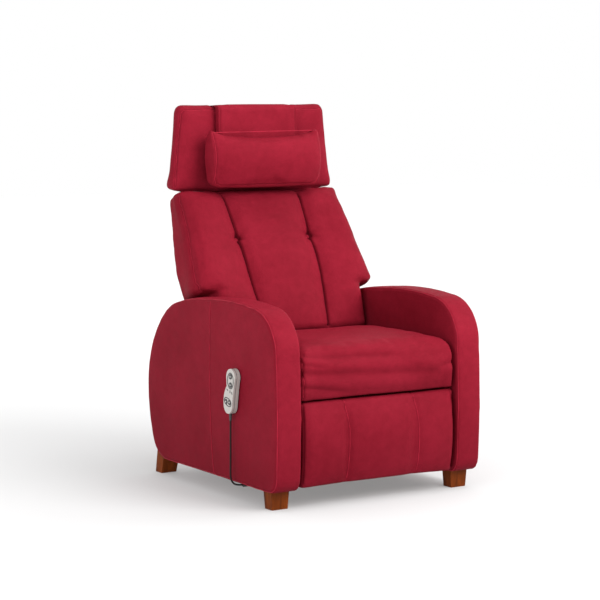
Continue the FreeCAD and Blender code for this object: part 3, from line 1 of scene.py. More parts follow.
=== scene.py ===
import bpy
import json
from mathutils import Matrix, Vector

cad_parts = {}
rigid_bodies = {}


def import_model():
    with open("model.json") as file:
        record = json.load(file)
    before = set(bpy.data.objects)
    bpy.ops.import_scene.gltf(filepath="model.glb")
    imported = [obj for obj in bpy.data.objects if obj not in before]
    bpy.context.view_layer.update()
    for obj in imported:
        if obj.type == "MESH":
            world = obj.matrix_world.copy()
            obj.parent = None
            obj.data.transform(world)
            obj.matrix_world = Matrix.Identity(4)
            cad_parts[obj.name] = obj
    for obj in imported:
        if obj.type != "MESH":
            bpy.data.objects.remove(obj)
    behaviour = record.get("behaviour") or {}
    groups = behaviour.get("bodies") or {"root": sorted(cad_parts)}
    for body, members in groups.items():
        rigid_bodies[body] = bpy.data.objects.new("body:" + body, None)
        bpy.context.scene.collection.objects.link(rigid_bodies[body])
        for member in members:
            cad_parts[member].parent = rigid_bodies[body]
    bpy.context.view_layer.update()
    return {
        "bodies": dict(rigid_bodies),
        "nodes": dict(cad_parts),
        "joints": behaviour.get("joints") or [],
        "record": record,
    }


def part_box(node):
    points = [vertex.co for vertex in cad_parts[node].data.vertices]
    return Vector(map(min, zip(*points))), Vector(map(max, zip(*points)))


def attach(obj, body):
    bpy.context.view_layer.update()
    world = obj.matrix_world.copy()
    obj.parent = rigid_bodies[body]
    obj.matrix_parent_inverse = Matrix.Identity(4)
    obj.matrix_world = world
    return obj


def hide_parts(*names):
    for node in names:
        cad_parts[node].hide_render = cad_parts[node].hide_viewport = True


bl_info = {
    "name": "Reflexology Chair",
    "version": (1, 0, 0),
    "blender": (4, 5, 0),
    "location": "View3D > Sidebar > Chair",
    "description": "Leather upholstery, wood, metal and a studio for a power reflexology chair",
    "category": "Object",
}

import json
import math

import bpy
import numpy as np
from bpy.props import FloatProperty, FloatVectorProperty, IntProperty, PointerProperty
from mathutils import Matrix, Vector, noise
from mathutils.bvhtree import BVHTree

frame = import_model()
RECORD = frame["record"]
JOINTS = {joint["name"]: joint for joint in RECORD["behaviour"]["joints"]}
# From the chair's own middle and arm outline to the shared frame
SHIFT = Vector(JOINTS["back_recline"]["pos_m"]) - Vector((0.0, 0.175, 0.4))

# Frames of the leaning back and of the head block, with y to the rear and z up
BACK_LEAN = math.radians(27.8)
HEAD_LEAN = math.radians(1.2)
BACK_FRAME = (Matrix.Translation(JOINTS["back_recline"]["pos_m"])
              @ Matrix.Rotation(-BACK_LEAN, 4, "X"))
HEAD_FRAME = (Matrix.Translation(JOINTS["headrest_tilt"]["pos_m"])
              @ Matrix.Rotation(-HEAD_LEAN, 4, "X"))
SIDES = (("left", -1), ("right", 1))

# How deep a welt sits in the leather, and the spacing of points along a seam
WELT_SUNK = 0.0004
SEAM_STEP = 0.006
# Directions in which seams drawn beside a piece are thrown onto it
REARWARD, FORWARD, DOWNWARD = (0, 1, 0), (0, -1, 0), (0, 0, -1)
RED_SHINE = (1.0, 0.45, 0.52, 1.0)


class ChairSizes(bpy.types.PropertyGroup):
    """Sizes of the upholstery's mesh and welts, and how its padding swells."""

    pitch: FloatProperty(
        name="Mesh pitch", description="Spacing of the upholstery's mesh before it is divided",
        default=0.007, min=0.004, max=0.02, unit="LENGTH")
    piping: FloatProperty(
        name="Piping radius", description="Radius of the welt along the cushions' edges",
        default=0.0022, min=0.0005, max=0.006, unit="LENGTH")
    pressure: FloatProperty(
        name="Filling pressure", description="Pressure that swells the padding",
        default=4.0, min=0.0, max=20.0)
    frames: IntProperty(
        name="Swelling steps", description="Steps of the simulation that swells the padding",
        default=20, min=1, max=60)


class ChairColours(bpy.types.PropertyGroup):
    """Colours of the leather, wood and moulded pieces."""

    leather: FloatVectorProperty(
        name="Leather", description="Colour of the leather where it is lit",
        default=(0.240, 0.0108, 0.0240), subtype="COLOR", min=0.0, max=1.0)
    leather_deep: FloatVectorProperty(
        name="Deep leather", description="Colour of the leather in its darker clouds",
        default=(0.172, 0.0066, 0.0152), subtype="COLOR", min=0.0, max=1.0)
    # Painted shade: the colour that seams, folds and tuft pits darken to; the grain's pores also
    # darken towards it
    fold: FloatVectorProperty(
        name="Fold", description="Colour deep in a seam or fold",
        default=(0.022, 0.0005, 0.0015), subtype="COLOR", min=0.0, max=1.0)
    wood: FloatVectorProperty(
        name="Wood", description="Colour of the feet",
        default=(0.136, 0.0270, 0.0030), subtype="COLOR", min=0.0, max=1.0)
    handset: FloatVectorProperty(
        name="Handset", description="Colour of the handset's moulding",
        default=(0.42, 0.400, 0.375), subtype="COLOR", min=0.0, max=1.0)


def sizes():
    return bpy.context.scene.chair_sizes


# Material building
class Link:
    """A shader value that is reckoned with like a number."""

    def __init__(self, finish, socket):
        self.finish = finish
        self.socket = socket

    def reckon(self, operation, first, second):
        return self.finish.add("ShaderNodeMath", {"operation": operation},
                               sockets={0: first, 1: second})

    def __add__(self, other):
        return self.reckon("ADD", self, other)

    __radd__ = __add__

    def __sub__(self, other):
        return self.reckon("SUBTRACT", self, other)

    def __rsub__(self, other):
        return self.reckon("SUBTRACT", other, self)

    def __mul__(self, other):
        return self.reckon("MULTIPLY", self, other)

    __rmul__ = __mul__

    def least(self, other):
        return self.reckon("MINIMUM", self, other)


class Finish:
    """A material that is put together node by node, at the object's own points."""

    def __init__(self, name, **constants):
        self.material = bpy.data.materials.new(name)
        self.material.use_nodes = True
        self.tree = self.material.node_tree
        self.shader = self.tree.nodes["Principled BSDF"]
        self.place = self.add("ShaderNodeTexCoord", out="Object")
        for socket, value in constants.items():
            self.put(self.shader.inputs[socket.replace("_", " ")], value)

    def put(self, socket, value):
        if isinstance(value, Link):
            self.tree.links.new(value.socket, socket)
        else:
            socket.default_value = value

    def add(self, kind, settings=None, out=0, sockets=None):
        node = self.tree.nodes.new(kind)
        for name, value in (settings or {}).items():
            setattr(node, name, value)
        for name, value in (sockets or {}).items():
            self.put(node.inputs[name], value)
        return Link(self, node.outputs[out])

    def mix(self, share, low, high):
        low, high = (value if isinstance(value, Link) else (*tuple(value)[:3], 1.0)
                     for value in (low, high))
        # Sockets 6 and 7 of a mix node are its two colours, and output 2 is the colour
        return self.add("ShaderNodeMix", {"data_type": "RGBA"}, 2, {0: share, 6: low, 7: high})

    def noise(self, scale, detail=2.0, roughness=0.5, distortion=0.0, stretch=None):
        where = self.place
        if stretch:
            where = self.add("ShaderNodeMapping", sockets={"Vector": where, "Scale": stretch})
        return self.add("ShaderNodeTexNoise", out="Fac", sockets={
            "Vector": where, "Scale": scale, "Detail": detail, "Roughness": roughness,
            "Distortion": distortion})

    def span(self, value, low, high):
        """Value taken from low..high to 0..1, held at both ends."""
        return self.add("ShaderNodeMapRange", sockets={
            "Value": value, "From Min": low, "From Max": high})

    def surface(self, colour, roughness, height=None, strength=0.5, distance=0.001):
        self.put(self.shader.inputs["Base Color"], colour)
        self.put(self.shader.inputs["Roughness"], roughness)
        if height is not None:
            bump = self.add("ShaderNodeBump", sockets={
                "Height": height, "Strength": strength, "Distance": distance})
            self.put(self.shader.inputs["Normal"], bump)
        return self.material


def leather_finish(name, colour, deep, fold):
    """Corrected-grain leather: pebbles, soft clouds, stretch creases, and painted shade in folds
    and seams and towards the floor.
    """
    skin = Finish(name, IOR=1.5, Specular_IOR_Level=0.032, Specular_Tint=RED_SHINE)
    pebbles = skin.add("ShaderNodeTexVoronoi", {"feature": "DISTANCE_TO_EDGE"}, "Distance",
                       {"Vector": skin.place, "Scale": 420.0, "Randomness": 1.0})
    grain = skin.span(pebbles, 0.0, 0.16)
    fine = skin.noise(1500.0)
    clouds = skin.noise(4.5, 4.0, 0.55)
    mottle = skin.noise(42.0, 4.0, 0.6)
    creases = skin.noise(3.0, 5.0, 0.62, 0.8, (14.0, 30.0, 30.0))
    # The seam attribute carries painted shade: in seams, folds and tuft pits, low on the seat's
    # front and over the upper back
    seam = skin.add("ShaderNodeAttribute", {"attribute_name": "seam"}, "Fac")
    tone = skin.span(clouds * 0.62 + mottle * 0.38, 0.34, 0.66)
    # Painted shade: deeper towards the floor, where less light falls
    height_up = skin.add("ShaderNodeSeparateXYZ", out="Z", sockets={"Vector": skin.place})
    painted_low_shade = (1.0 - skin.span(height_up, 0.04, 0.46)) * 0.30
    body = skin.mix(painted_low_shade, skin.mix(tone, deep, colour), [channel * 0.55 for channel in deep])
    pored = skin.mix((1.0 - grain) * 0.30, body, fold)
    # Painted shade: the leather darkens to the fold colour where the seam attribute is set
    dark = skin.mix(seam.least(1.0) * 0.85, pored, fold)
    roughness = 0.48 + mottle * 0.12 + (1.0 - grain) * 0.10 + seam * 0.15
    height = grain * 0.55 + fine * 0.20 + creases * 1.6
    return skin.surface(dark, roughness, height, 0.42, 0.0006)


def welt_finish(name, colour, deep):
    """The same leather pulled tight over a welt: finer grain, a little shinier, and lightened by
    a painted highlight.
    """
    skin = Finish(name, IOR=1.5, Specular_IOR_Level=0.08, Specular_Tint=RED_SHINE)
    grain = skin.noise(900.0, 3.0)
    clouds = skin.noise(30.0, 3.0)
    # Painted highlight: the welt is lighter, as if it caught the light
    painted_highlight = [channel * 1.45 for channel in colour]
    body = skin.mix(skin.span(clouds, 0.35, 0.65), colour, painted_highlight)
    return skin.surface(skin.mix((1.0 - grain) * 0.15, body, deep), 0.36 + grain * 0.14, grain,
                        0.3, 0.0004)


def wood_finish(colour):
    """Stained hardwood, its grain running down the foot."""
    wood = Finish("stained_hardwood", IOR=1.48, Coat_Roughness=0.30, Specular_IOR_Level=0.06)
    rings = wood.noise(34.0, 5.0, 0.6, 0.9, (1.0, 1.0, 0.16))
    pores = wood.noise(620.0, stretch=(1.0, 1.0, 0.05))
    blotch = wood.noise(13.0, 3.0)
    light = [min(1.0, channel * 1.45) for channel in colour]
    dark = [channel * 0.38 for channel in colour]
    body = wood.mix(wood.span(rings, 0.32, 0.68), dark, light)
    aged = wood.mix(wood.span(blotch, 0.3, 0.75) * 0.35, body, colour)
    pored = wood.mix(wood.span(pores, 0.58, 0.72) * 0.55, aged, (0.03, 0.010, 0.004))
    wood.put(wood.shader.inputs["Coat Weight"], 0.04 * blotch)
    return wood.surface(pored, 0.38 + rings * 0.16, rings * 0.6 + pores * 0.5, 0.30, 0.0005)


def plywood_finish():
    ply = Finish("birch_plywood")
    figure = ply.noise(26.0, 5.0, 0.6, 1.2, (0.14, 1.0, 1.0))
    flecks = ply.noise(320.0, stretch=(0.08, 1.0, 1.0))
    body = ply.mix(figure, (0.42, 0.26, 0.13), (0.66, 0.48, 0.28))
    return ply.surface(ply.mix(flecks * 0.4, body, (0.30, 0.18, 0.09)), 0.62 + flecks * 0.15,
                       figure + flecks * 0.4, 0.3, 0.0004)


def black_steel_finish():
    """Powder coat: fine orange peel and rubbed edges."""
    steel = Finish("black_powder_coat", IOR=1.5)
    peel = steel.noise(700.0)
    dust = steel.noise(16.0, 5.0, 0.65)
    scuff = steel.span(steel.noise(120.0, 4.0, stretch=(1.0, 4.0, 1.0)), 0.6, 0.8)
    body = steel.mix(dust, (0.018, 0.018, 0.020), (0.05, 0.05, 0.053))
    rubbed = steel.mix(scuff * 0.35, body, (0.16, 0.16, 0.165))
    return steel.surface(rubbed, 0.42 + dust * 0.2, peel, 0.25, 0.0003)


def zinc_finish():
    zinc = Finish("zinc_plate", Metallic=1.0)
    spangle = zinc.noise(60.0, 4.0, 0.6)
    lines = zinc.noise(1300.0, stretch=(0.05, 1.0, 1.0))
    body = zinc.mix(spangle, (0.46, 0.47, 0.49), (0.66, 0.66, 0.65))
    return zinc.surface(body, 0.24 + spangle * 0.16 + lines * 0.08, lines, 0.15, 0.0002)


def moulding_finish(name, colour, low, high, fleck=0.12):
    """Moulded plastic with a spark-eroded texture."""
    plastic = Finish(name, IOR=1.5)
    texture = plastic.noise(1700.0)
    handling = plastic.noise(22.0, 4.0, 0.6)
    body = plastic.mix(handling, [channel * (1.0 - fleck) for channel in colour],
                       [min(1.0, channel * (1.0 + fleck)) for channel in colour])
    return plastic.surface(body, low + handling * (high - low), texture, 0.25, 0.0002)


def webbing_finish():
    band = Finish("elastic_webbing", Sheen_Weight=0.3)
    warp, weft = (
        band.add("ShaderNodeTexWave", {"bands_direction": way}, "Fac",
                 {"Vector": band.place, "Scale": scale, "Distortion": 0.4})
        for way, scale in (("X", 210.0), ("Y", 150.0)))
    body = band.mix(warp, (0.02, 0.02, 0.022), (0.09, 0.09, 0.095))
    striped = band.mix(weft * 0.4, body, (0.22, 0.03, 0.03))
    return band.surface(striped, 0.75 + weft * 0.15, warp * 0.6 + weft * 0.4, 0.5, 0.0006)


def cord_finish():
    sheath = Finish("cord_sheath", IOR=1.5, Specular_IOR_Level=0.08)
    matte = sheath.noise(900.0)
    dust = sheath.noise(60.0, 3.0)
    body = sheath.mix(dust, (0.010, 0.008, 0.008), (0.020, 0.017, 0.017))
    return sheath.surface(body, 0.42 + dust * 0.2, matte, 0.2, 0.0002)


FINISHES = {}


def finish_of(slot):
    """The finish for a material slot, made the first time it is asked for."""
    if slot not in FINISHES:
        tint = bpy.context.scene.chair_colours
        makers = {
            "crimson_leather": lambda: leather_finish(
                "crimson_leather", tint.leather, tint.leather_deep, tint.fold),
            "leather_welt": lambda: welt_finish(
                "leather_welt", tint.leather, tint.leather_deep),
            "oiled_wood": lambda: wood_finish(tint.wood),
            "plywood": plywood_finish,
            "black_steel": black_steel_finish,
            "steel": zinc_finish,
            "black_plastic": lambda: moulding_finish(
                "black_moulding", (0.026, 0.026, 0.028), 0.42, 0.62),
            "handset_grey": lambda: moulding_finish(
                "handset_moulding", tint.handset, 0.34, 0.46, 0.05),
            "button_black": lambda: moulding_finish(
                "button_moulding", (0.016, 0.016, 0.018), 0.28, 0.42),
            "button_mark": lambda: moulding_finish(
                "button_mark", (0.55, 0.53, 0.50), 0.35, 0.45),
            "black_cord": cord_finish,
            "webbing": webbing_finish,
        }
        FINISHES[slot] = makers[slot]()
    return FINISHES[slot]


def fit_out(piece, finish, body, *nodes):
    """Give a piece its finish, its body and the CAD nodes that it stands for."""
    piece.data.materials.clear()
    piece.data.materials.append(finish_of(finish))
    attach(piece, body)
    if nodes:
        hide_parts(*nodes)


# Mesh helpers
def deselect():
    if bpy.context.object and bpy.context.object.mode != "OBJECT":
        bpy.ops.object.mode_set(mode="OBJECT")
    bpy.ops.object.select_all(action="DESELECT")


def activate(piece):
    deselect()
    piece.select_set(True)
    bpy.context.view_layer.objects.active = piece


def edit_all(piece, **steps):
    """Run mesh operators by name, each with its settings, on the whole piece."""
    activate(piece)
    bpy.ops.object.mode_set(mode="EDIT")
    bpy.ops.mesh.select_all(action="SELECT")
    for name, settings in steps.items():
        getattr(bpy.ops.mesh, name)(**settings)
    bpy.ops.object.mode_set(mode="OBJECT")


def add_object(name, data):
    piece = bpy.data.objects.new(name, data)
    bpy.context.scene.collection.objects.link(piece)
    return piece


def add_bar(name, kind, places, radius, resolution):
    """A round bar along points as a curve object, and its spline."""
    curve = bpy.data.curves.new(name, "CURVE")
    curve.dimensions = "3D"
    curve.bevel_depth = radius
    curve.bevel_resolution = resolution
    curve.use_fill_caps = True
    spline = curve.splines.new(kind)
    spline.points.add(len(places) - 1)
    for point, place in zip(spline.points, places):
        point.co = (*place, 1.0)
    return add_object(name, curve), spline


def slab(name, near, far, outline):
    """A closed plate between two places along x, over an outline of (y, z) points."""
    count = len(outline)
    corners = [(x, y, z) for x in (near, far) for y, z in outline]
    faces = [tuple(range(count)), tuple(reversed(range(count, count * 2)))]
    faces += [(number, number + count, (number + 1) % count + count, (number + 1) % count)
              for number in range(count)]
    mesh = bpy.data.meshes.new(name)
    mesh.from_pydata(corners, [], faces)
    mesh.update()
    piece = add_object(name, mesh)
    edit_all(piece, normals_make_consistent={"inside": False})
    return piece


def modify(piece, kind, **settings):
    """Add a modifier and apply it."""
    activate(piece)
    modifier = piece.modifiers.new("Work", kind)
    for name, value in settings.items():
        setattr(modifier, name, value)
    bpy.ops.object.modifier_apply(modifier=modifier.name)


def settle(piece):
    """Put the object's place into its mesh."""
    activate(piece)
    bpy.ops.object.transform_apply(location=True, rotation=True, scale=True)


def smooth_shade(piece, angle=None):
    activate(piece)
    if angle is None:
        bpy.ops.object.shade_smooth()
    else:
        bpy.ops.object.shade_smooth_by_angle(angle=angle)


def joined(pieces):
    """The pieces as one, under the first one's name."""
    activate(pieces[0])
    for piece in pieces[1:]:
        piece.select_set(True)
    if len(pieces) > 1:
        bpy.ops.object.join()
    return pieces[0]


def points_of(piece):
    flat = np.zeros(len(piece.data.vertices) * 3)
    piece.data.vertices.foreach_get("co", flat)
    return flat.reshape(-1, 3)


def set_points(piece, points):
    piece.data.vertices.foreach_set("co", np.asarray(points, float).ravel())
    piece.data.update()


def normals_of(piece):
    flat = np.zeros(len(piece.data.vertices) * 3)
    piece.data.vertices.foreach_get("normal", flat)
    return flat.reshape(-1, 3)


def push(piece, points, move):
    """Set the piece's points, each moved along the normal that it has now."""
    set_points(piece, points + normals_of(piece) * move[:, None])


def moved(points, matrix):
    turn = np.array(matrix.to_3x3())
    return points @ turn.T + np.array(matrix.translation)


def in_frame(piece, matrix):
    """The piece's points in a leaning frame."""
    return moved(points_of(piece), matrix.inverted())


# Smooth weights
def eased(value, low, high):
    """0 at low and 1 at high, smooth in between."""
    share = np.clip((value - low) / (high - low), 0.0, 1.0)
    return share * share * (3.0 - 2.0 * share)


def hump(value, foot, crest, brow, end):
    """Eased up from foot to crest, and down again from brow to end."""
    return eased(value, foot, crest) * (1.0 - eased(value, brow, end))


def ramp(value, low, run):
    return np.clip((value - low) / run, 0.0, 1.0)


def bulge(value, half):
    """1 at 0, falling in a parabola to 0 at half."""
    return np.clip(1.0 - (value / half) ** 2, 0.0, 1.0)


def bell(value, width):
    return np.exp(-(value / width) ** 2)


def uneven(points, scale, seed):
    """Slow hills between -1 and 1, the same every time."""
    offset = Vector((seed * 7.3, seed * 3.1, seed * 5.7))
    return np.array([noise.noise(Vector(point) * scale + offset) for point in points])


def hills(points, *waves):
    """Uneven hills added up, from the scale, seed and height of each."""
    return sum(uneven(points, scale, seed) * height for scale, seed, height in waves)


# Padding
def shape_copy(name, node):
    """A copy of a CAD object, which itself stays as it is."""
    source = bpy.data.objects[node]
    copy = add_object(name, source.data.copy())
    copy.matrix_world = source.matrix_world.copy()
    return copy


def even_out(piece, pitch, rounds):
    """Give the piece an even closed mesh."""
    modify(piece, "REMESH", mode="VOXEL", voxel_size=pitch, adaptivity=0.0)
    modify(piece, "SMOOTH", factor=0.5, iterations=rounds)


def soft_copy(name, nodes, pitch):
    """An even closed mesh over the space of CAD cushions."""
    piece = joined([shape_copy(name, node) for node in nodes])
    settle(piece)
    edit_all(piece, remove_doubles={"threshold": 0.00002})
    even_out(piece, pitch, 2)
    return piece


def refine(piece):
    modify(piece, "SUBSURF", levels=1, render_levels=1)


def plump(piece, cap, hold, shrink=0.002):
    """Swell a cushion as its filling does, by no more than cap; hold scales it by point."""
    hold = hold[:, None]
    set_points(piece, points_of(piece) - normals_of(piece) * shrink * hold)
    before = points_of(piece)
    activate(piece)
    cloth = piece.modifiers.new("Filling", "CLOTH")
    padding = {
        "quality": 4, "mass": 0.25, "tension_stiffness": 12.0, "compression_stiffness": 12.0,
        "shear_stiffness": 6.0, "bending_stiffness": 1.5, "use_pressure": True,
        "uniform_pressure_force": sizes().pressure,
    }
    for name, value in padding.items():
        setattr(cloth.settings, name, value)
    cloth.settings.effector_weights.gravity = 0.0
    cloth.point_cache.frame_start = 1
    cloth.point_cache.frame_end = sizes().frames
    scene = bpy.context.scene
    for number in range(1, sizes().frames + 1):
        scene.frame_set(number)
    bpy.ops.object.modifier_apply(modifier=cloth.name)
    scene.frame_set(1)
    move = points_of(piece) - before
    length = np.linalg.norm(move, axis=1, keepdims=True)
    move *= np.minimum(1.0, cap / np.maximum(length, 1e-9))
    set_points(piece, before + move * hold)
    modify(piece, "SMOOTH", factor=0.5, iterations=6)
    refine(piece)


def keep_between(piece, low, high, matrix=None):
    """Press the piece flat where it would pass its neighbours."""
    matrix = matrix or Matrix.Identity(4)
    points = np.clip(in_frame(piece, matrix), np.array(low), np.array(high))
    set_points(piece, moved(points, matrix))


def squarer(points, axes, corner, reach, power):
    """Fills out a rounded edge: points near it are pushed towards its sharp corner."""
    out = [np.clip((points[:, axis] * np.sign(way) - abs(place) + reach) / reach, 0.0, None)
           for axis, place, way in zip(axes, corner, corner)]
    flat = (out[0] < 1e-4) | (out[1] < 1e-4)
    length = np.hypot(*out)
    full = (out[0] ** power + out[1] ** power) ** (1.0 / power)
    grown = np.where(flat, 1.0, length / np.maximum(full, 1e-6))
    for axis, value, place in zip(axes, out, corner):
        points[:, axis] += np.sign(place) * value * (grown - 1.0) * reach


# Seams and welts
def trace(piece, starts, direction, matrix=None):
    """Points where rays from starts first meet the piece."""
    matrix = matrix or Matrix.Identity(4)
    tree = BVHTree.FromObject(piece, bpy.context.evaluated_depsgraph_get())
    heading = (matrix.to_3x3() @ Vector(direction)).normalized()
    found = []
    for start in starts:
        hit = tree.ray_cast(matrix @ Vector(start), heading)[0]
        if hit is not None:
            found.append(hit)
    return found


def laid_on(piece, line, sunk=0.0):
    """The points of a line moved to the nearest place on the piece."""
    tree = BVHTree.FromObject(piece, bpy.context.evaluated_depsgraph_get())
    found = []
    for point in line:
        place, facing = tree.find_nearest(Vector(point))[:2]
        found.append(place - facing * sunk)
    return found


def path_through(corners, step):
    """Points every step along straight runs."""
    points = []
    for start, finish in zip(corners, corners[1:]):
        start, finish = Vector(start), Vector(finish)
        count = max(2, int((finish - start).length / step))
        points += [start.lerp(finish, number / count) for number in range(count)]
    return points + [Vector(corners[-1])]


def seam_line(piece, corners, heading=REARWARD, frame=None, step=SEAM_STEP):
    """Where a seam that is drawn through corners beside the piece falls on it."""
    return trace(piece, path_through(corners, step), heading, frame)


def nearness(points, line, reach):
    """Distance of each point to a line of points, at most reach, and the share along it."""
    line = np.array([tuple(point) for point in line])
    low, high = line.min(0) - reach, line.max(0) + reach
    near = np.where(((points > low) & (points < high)).all(1))[0]
    distance = np.full(len(points), reach)
    along = np.zeros(len(points))
    starts, ends = line[:-1], line[1:]
    runs = ends - starts
    squares = np.maximum((runs ** 2).sum(1), 1e-12)
    for block in np.array_split(near, max(1, len(near) // 4000)):
        away = points[block][:, None, :] - starts[None]
        share = np.clip((away * runs[None]).sum(2) / squares[None], 0.0, 1.0)
        gap = np.linalg.norm(away - share[..., None] * runs[None], axis=2)
        best = gap.argmin(1)
        rows = np.arange(len(block))
        distance[block] = np.minimum(reach, gap[rows, best])
        along[block] = (best + share[rows, best]) / len(runs)
    return distance, along


def mark(piece, amount):
    """Record how deep in a fold each point is, as painted shade for the leather to darken;
    callers also lay painted shade this way.
    """
    store = piece.data.attributes.get("seam")
    if store is None:
        store = piece.data.attributes.new("seam", "FLOAT", "POINT")
    flat = np.zeros(len(piece.data.vertices), np.float32)
    store.data.foreach_get("value", flat)
    store.data.foreach_set("value", np.maximum(flat, amount).astype(np.float32))


def refine_near(piece, line, reach):
    """Divide the faces beside a seam once more."""
    distance, _ = nearness(points_of(piece), line, reach)
    chosen = distance < reach * 0.999
    faces = piece.data.polygons
    corners = np.zeros(len(piece.data.loops), np.int64)
    piece.data.loops.foreach_get("vertex_index", corners)
    starts = np.zeros(len(faces), np.int64)
    faces.foreach_get("loop_start", starts)
    near = np.logical_or.reduceat(chosen[corners], starts)
    activate(piece)
    bpy.ops.object.mode_set(mode="EDIT")
    bpy.ops.mesh.select_mode(type="FACE")
    bpy.ops.mesh.select_all(action="DESELECT")
    bpy.ops.object.mode_set(mode="OBJECT")
    faces.foreach_set("select", near)
    bpy.ops.object.mode_set(mode="EDIT")
    bpy.ops.mesh.subdivide(number_cuts=1, quadcorner="FAN")
    bpy.ops.object.mode_set(mode="OBJECT")


def crease(piece, line, depth, width, swell=0.0, dark=0.8, fade=(0.0, 0.0)):
    """Sink a fold or sewn seam into the padding, with a soft shoulder on both sides, and paint
    shade into its valley.
    """
    line = list(line)
    if width < 0.005:
        refine_near(piece, line, width * 2.2)
    points = points_of(piece)
    distance, along = nearness(points, line, width * 6)
    valley = bell(distance, width)
    shoulder = bell(distance - width * 2.6, width * 1.4)
    strength = np.ones(len(points))
    if fade[0]:
        strength *= eased(along, 0.0, fade[0])
    if fade[1]:
        strength *= 1.0 - eased(along, 1.0 - fade[1], 1.0)
    move = (shoulder * swell - valley * depth) * strength
    move[distance >= width * 6] = 0.0
    push(piece, points, move)
    # Painted shade in the valley, scaled by dark
    mark(piece, valley ** 2 * dark * strength)


def tube(name, line, radius, body, finish="leather_welt", closed=False):
    """A round welt or bar along points."""
    bar, spline = add_bar(name, "POLY", line, radius, 2)
    bar.data.use_fill_caps = not closed
    spline.use_cyclic_u = closed
    activate(bar)
    bpy.ops.object.convert(target="MESH")
    piece = bpy.context.object
    piece.name = name
    smooth_shade(piece)
    fit_out(piece, finish, body)


def welt(piece, name, line, share, body, *fold, closed=False):
    """A welt along a line on the piece, in a fold of its own where one is given."""
    if fold:
        crease(piece, line, *fold)
    tube(name, laid_on(piece, line, WELT_SUNK), sizes().piping * share, body, closed=closed)


def upholster(piece, body, nodes):
    """Finish a padded piece: leather, its body and the CAD cushions it stands for."""
    smooth_shade(piece)
    fit_out(piece, "crimson_leather", body, *nodes)


class ChairStudio(bpy.types.Operator):
    """Pale floor, soft lights and the camera at the photograph's angle"""

    bl_idname = "chair.studio"
    bl_label = "Studio"

    def execute(self, context):
        scene = context.scene
        camera_data = bpy.data.cameras.new("camera")
        camera_data.lens = 123.96
        camera_data.sensor_width = 36.0
        camera = add_object("camera", camera_data)
        turn, tip = math.radians(31.999), math.radians(6.143)
        ahead = Vector((math.sin(turn) * math.cos(tip), math.cos(turn) * math.cos(tip),
                        -math.sin(tip)))
        camera.location = Vector((-3.52605, -5.59499, 1.295)) + SHIFT
        camera.rotation_mode = "QUATERNION"
        camera.rotation_quaternion = ahead.to_track_quat("-Z", "Y")
        scene.camera = camera

        deselect()
        bpy.ops.mesh.primitive_plane_add(size=24.0, location=(0.0, 3.0, 0.0))
        floor = context.object
        floor.name = "floor"
        edit_all(floor, subdivide={"number_cuts": 6})
        settle(floor)
        paint = Finish("studio_floor")
        cloud = paint.noise(0.6)
        # The lamps' light falls off with distance, so the paper glows more away from the chair
        away = paint.add("ShaderNodeVectorMath", {"operation": "LENGTH"}, "Value",
                         {"Vector": paint.place})
        glow = paint.mix(paint.span(away, 0.4, 3.2), (0.22, 0.22, 0.22), (0.60, 0.60, 0.60))
        paint.put(paint.shader.inputs["Emission Strength"], 1.0)
        paint.put(paint.shader.inputs["Emission Color"], glow)
        floor.data.materials.append(paint.surface(
            paint.mix(cloud, (0.40, 0.40, 0.40), (0.42, 0.42, 0.42)), 0.75 + cloud * 0.1))

        scene.world = bpy.data.worlds.new("studio")
        scene.world.use_nodes = True
        shade = scene.world.node_tree.nodes["Background"]
        shade.inputs["Color"].default_value = (1.0, 1.0, 1.0, 1.0)
        shade.inputs["Strength"].default_value = 1.0
        # Each lamp's place, its side in metres and its power in watts
        lamps = (
            ("key", (1.5, -3.5, 3.1), 2.6, 200.0),
            ("top", (0.5, -0.8, 3.9), 2.4, 34.0),
            ("right_edge", (3.4, -1.0, 2.3), 1.6, 40.0),
            ("left_fill", (-3.2, -0.9, 1.0), 2.8, 44.0),
        )
        for name, place, side, power in lamps:
            lamp_data = bpy.data.lights.new(name, "AREA")
            lamp_data.energy = power
            lamp_data.size = side
            lamp = add_object(name, lamp_data)
            lamp.location = place
            lamp.rotation_euler = (Vector((0.0, 0.0, 0.6)) - Vector(place)).to_track_quat(
                "-Z", "Y").to_euler()
        scene.view_settings.view_transform = "Standard"
        return {"FINISHED"}


# Route of the handset cord from its boot to the gland, before the model's shift
CORD_ROUTE = (
    (-0.3931, -0.18, 0.2507),
    (-0.392896, -0.1788, 0.200916),
    (-0.393916, -0.181, 0.1491),
    (-0.394732, -0.1812, 0.100332),
    (-0.395956, -0.1836, 0.066072),
    (-0.377718, -0.1832, 0.0475),
    (-0.3523, -0.184, 0.0475),
)


class ChairCord(bpy.types.Operator):
    """Handset cord, from its boot down beside the arm and in under it to the gland"""

    bl_idname = "chair.cord"
    bl_label = "Handset cord"

    def execute(self, context):
        route = [Vector(place) + SHIFT for place in CORD_ROUTE]
        lead, spline = add_bar("handset_lead", "NURBS", route, 0.0028, 5)
        lead.data.resolution_u = 24
        spline.order_u = 3
        spline.use_endpoint_u = True
        fit_out(lead, "black_cord", "chair", "handset_cord")
        return {"FINISHED"}


# Side outline of an arm: a start, then arcs as (through, to) pairs, before the model's shift
ARM_START = (0.262, 0.062)
ARM_RUNS = (
    (None, (-0.383, 0.062)),
    ((-0.4106, 0.0735), (-0.422, 0.099)),
    ((-0.428, 0.260), (-0.421, 0.455)),
    ((-0.383, 0.563), (-0.282, 0.608)),
    ((-0.085, 0.617), (0.215, 0.568)),
    ((0.335, 0.460), (0.382, 0.307)),
    ((0.374, 0.200), (0.353, 0.126)),
    ((0.324, 0.085), (0.262, 0.062)),
)


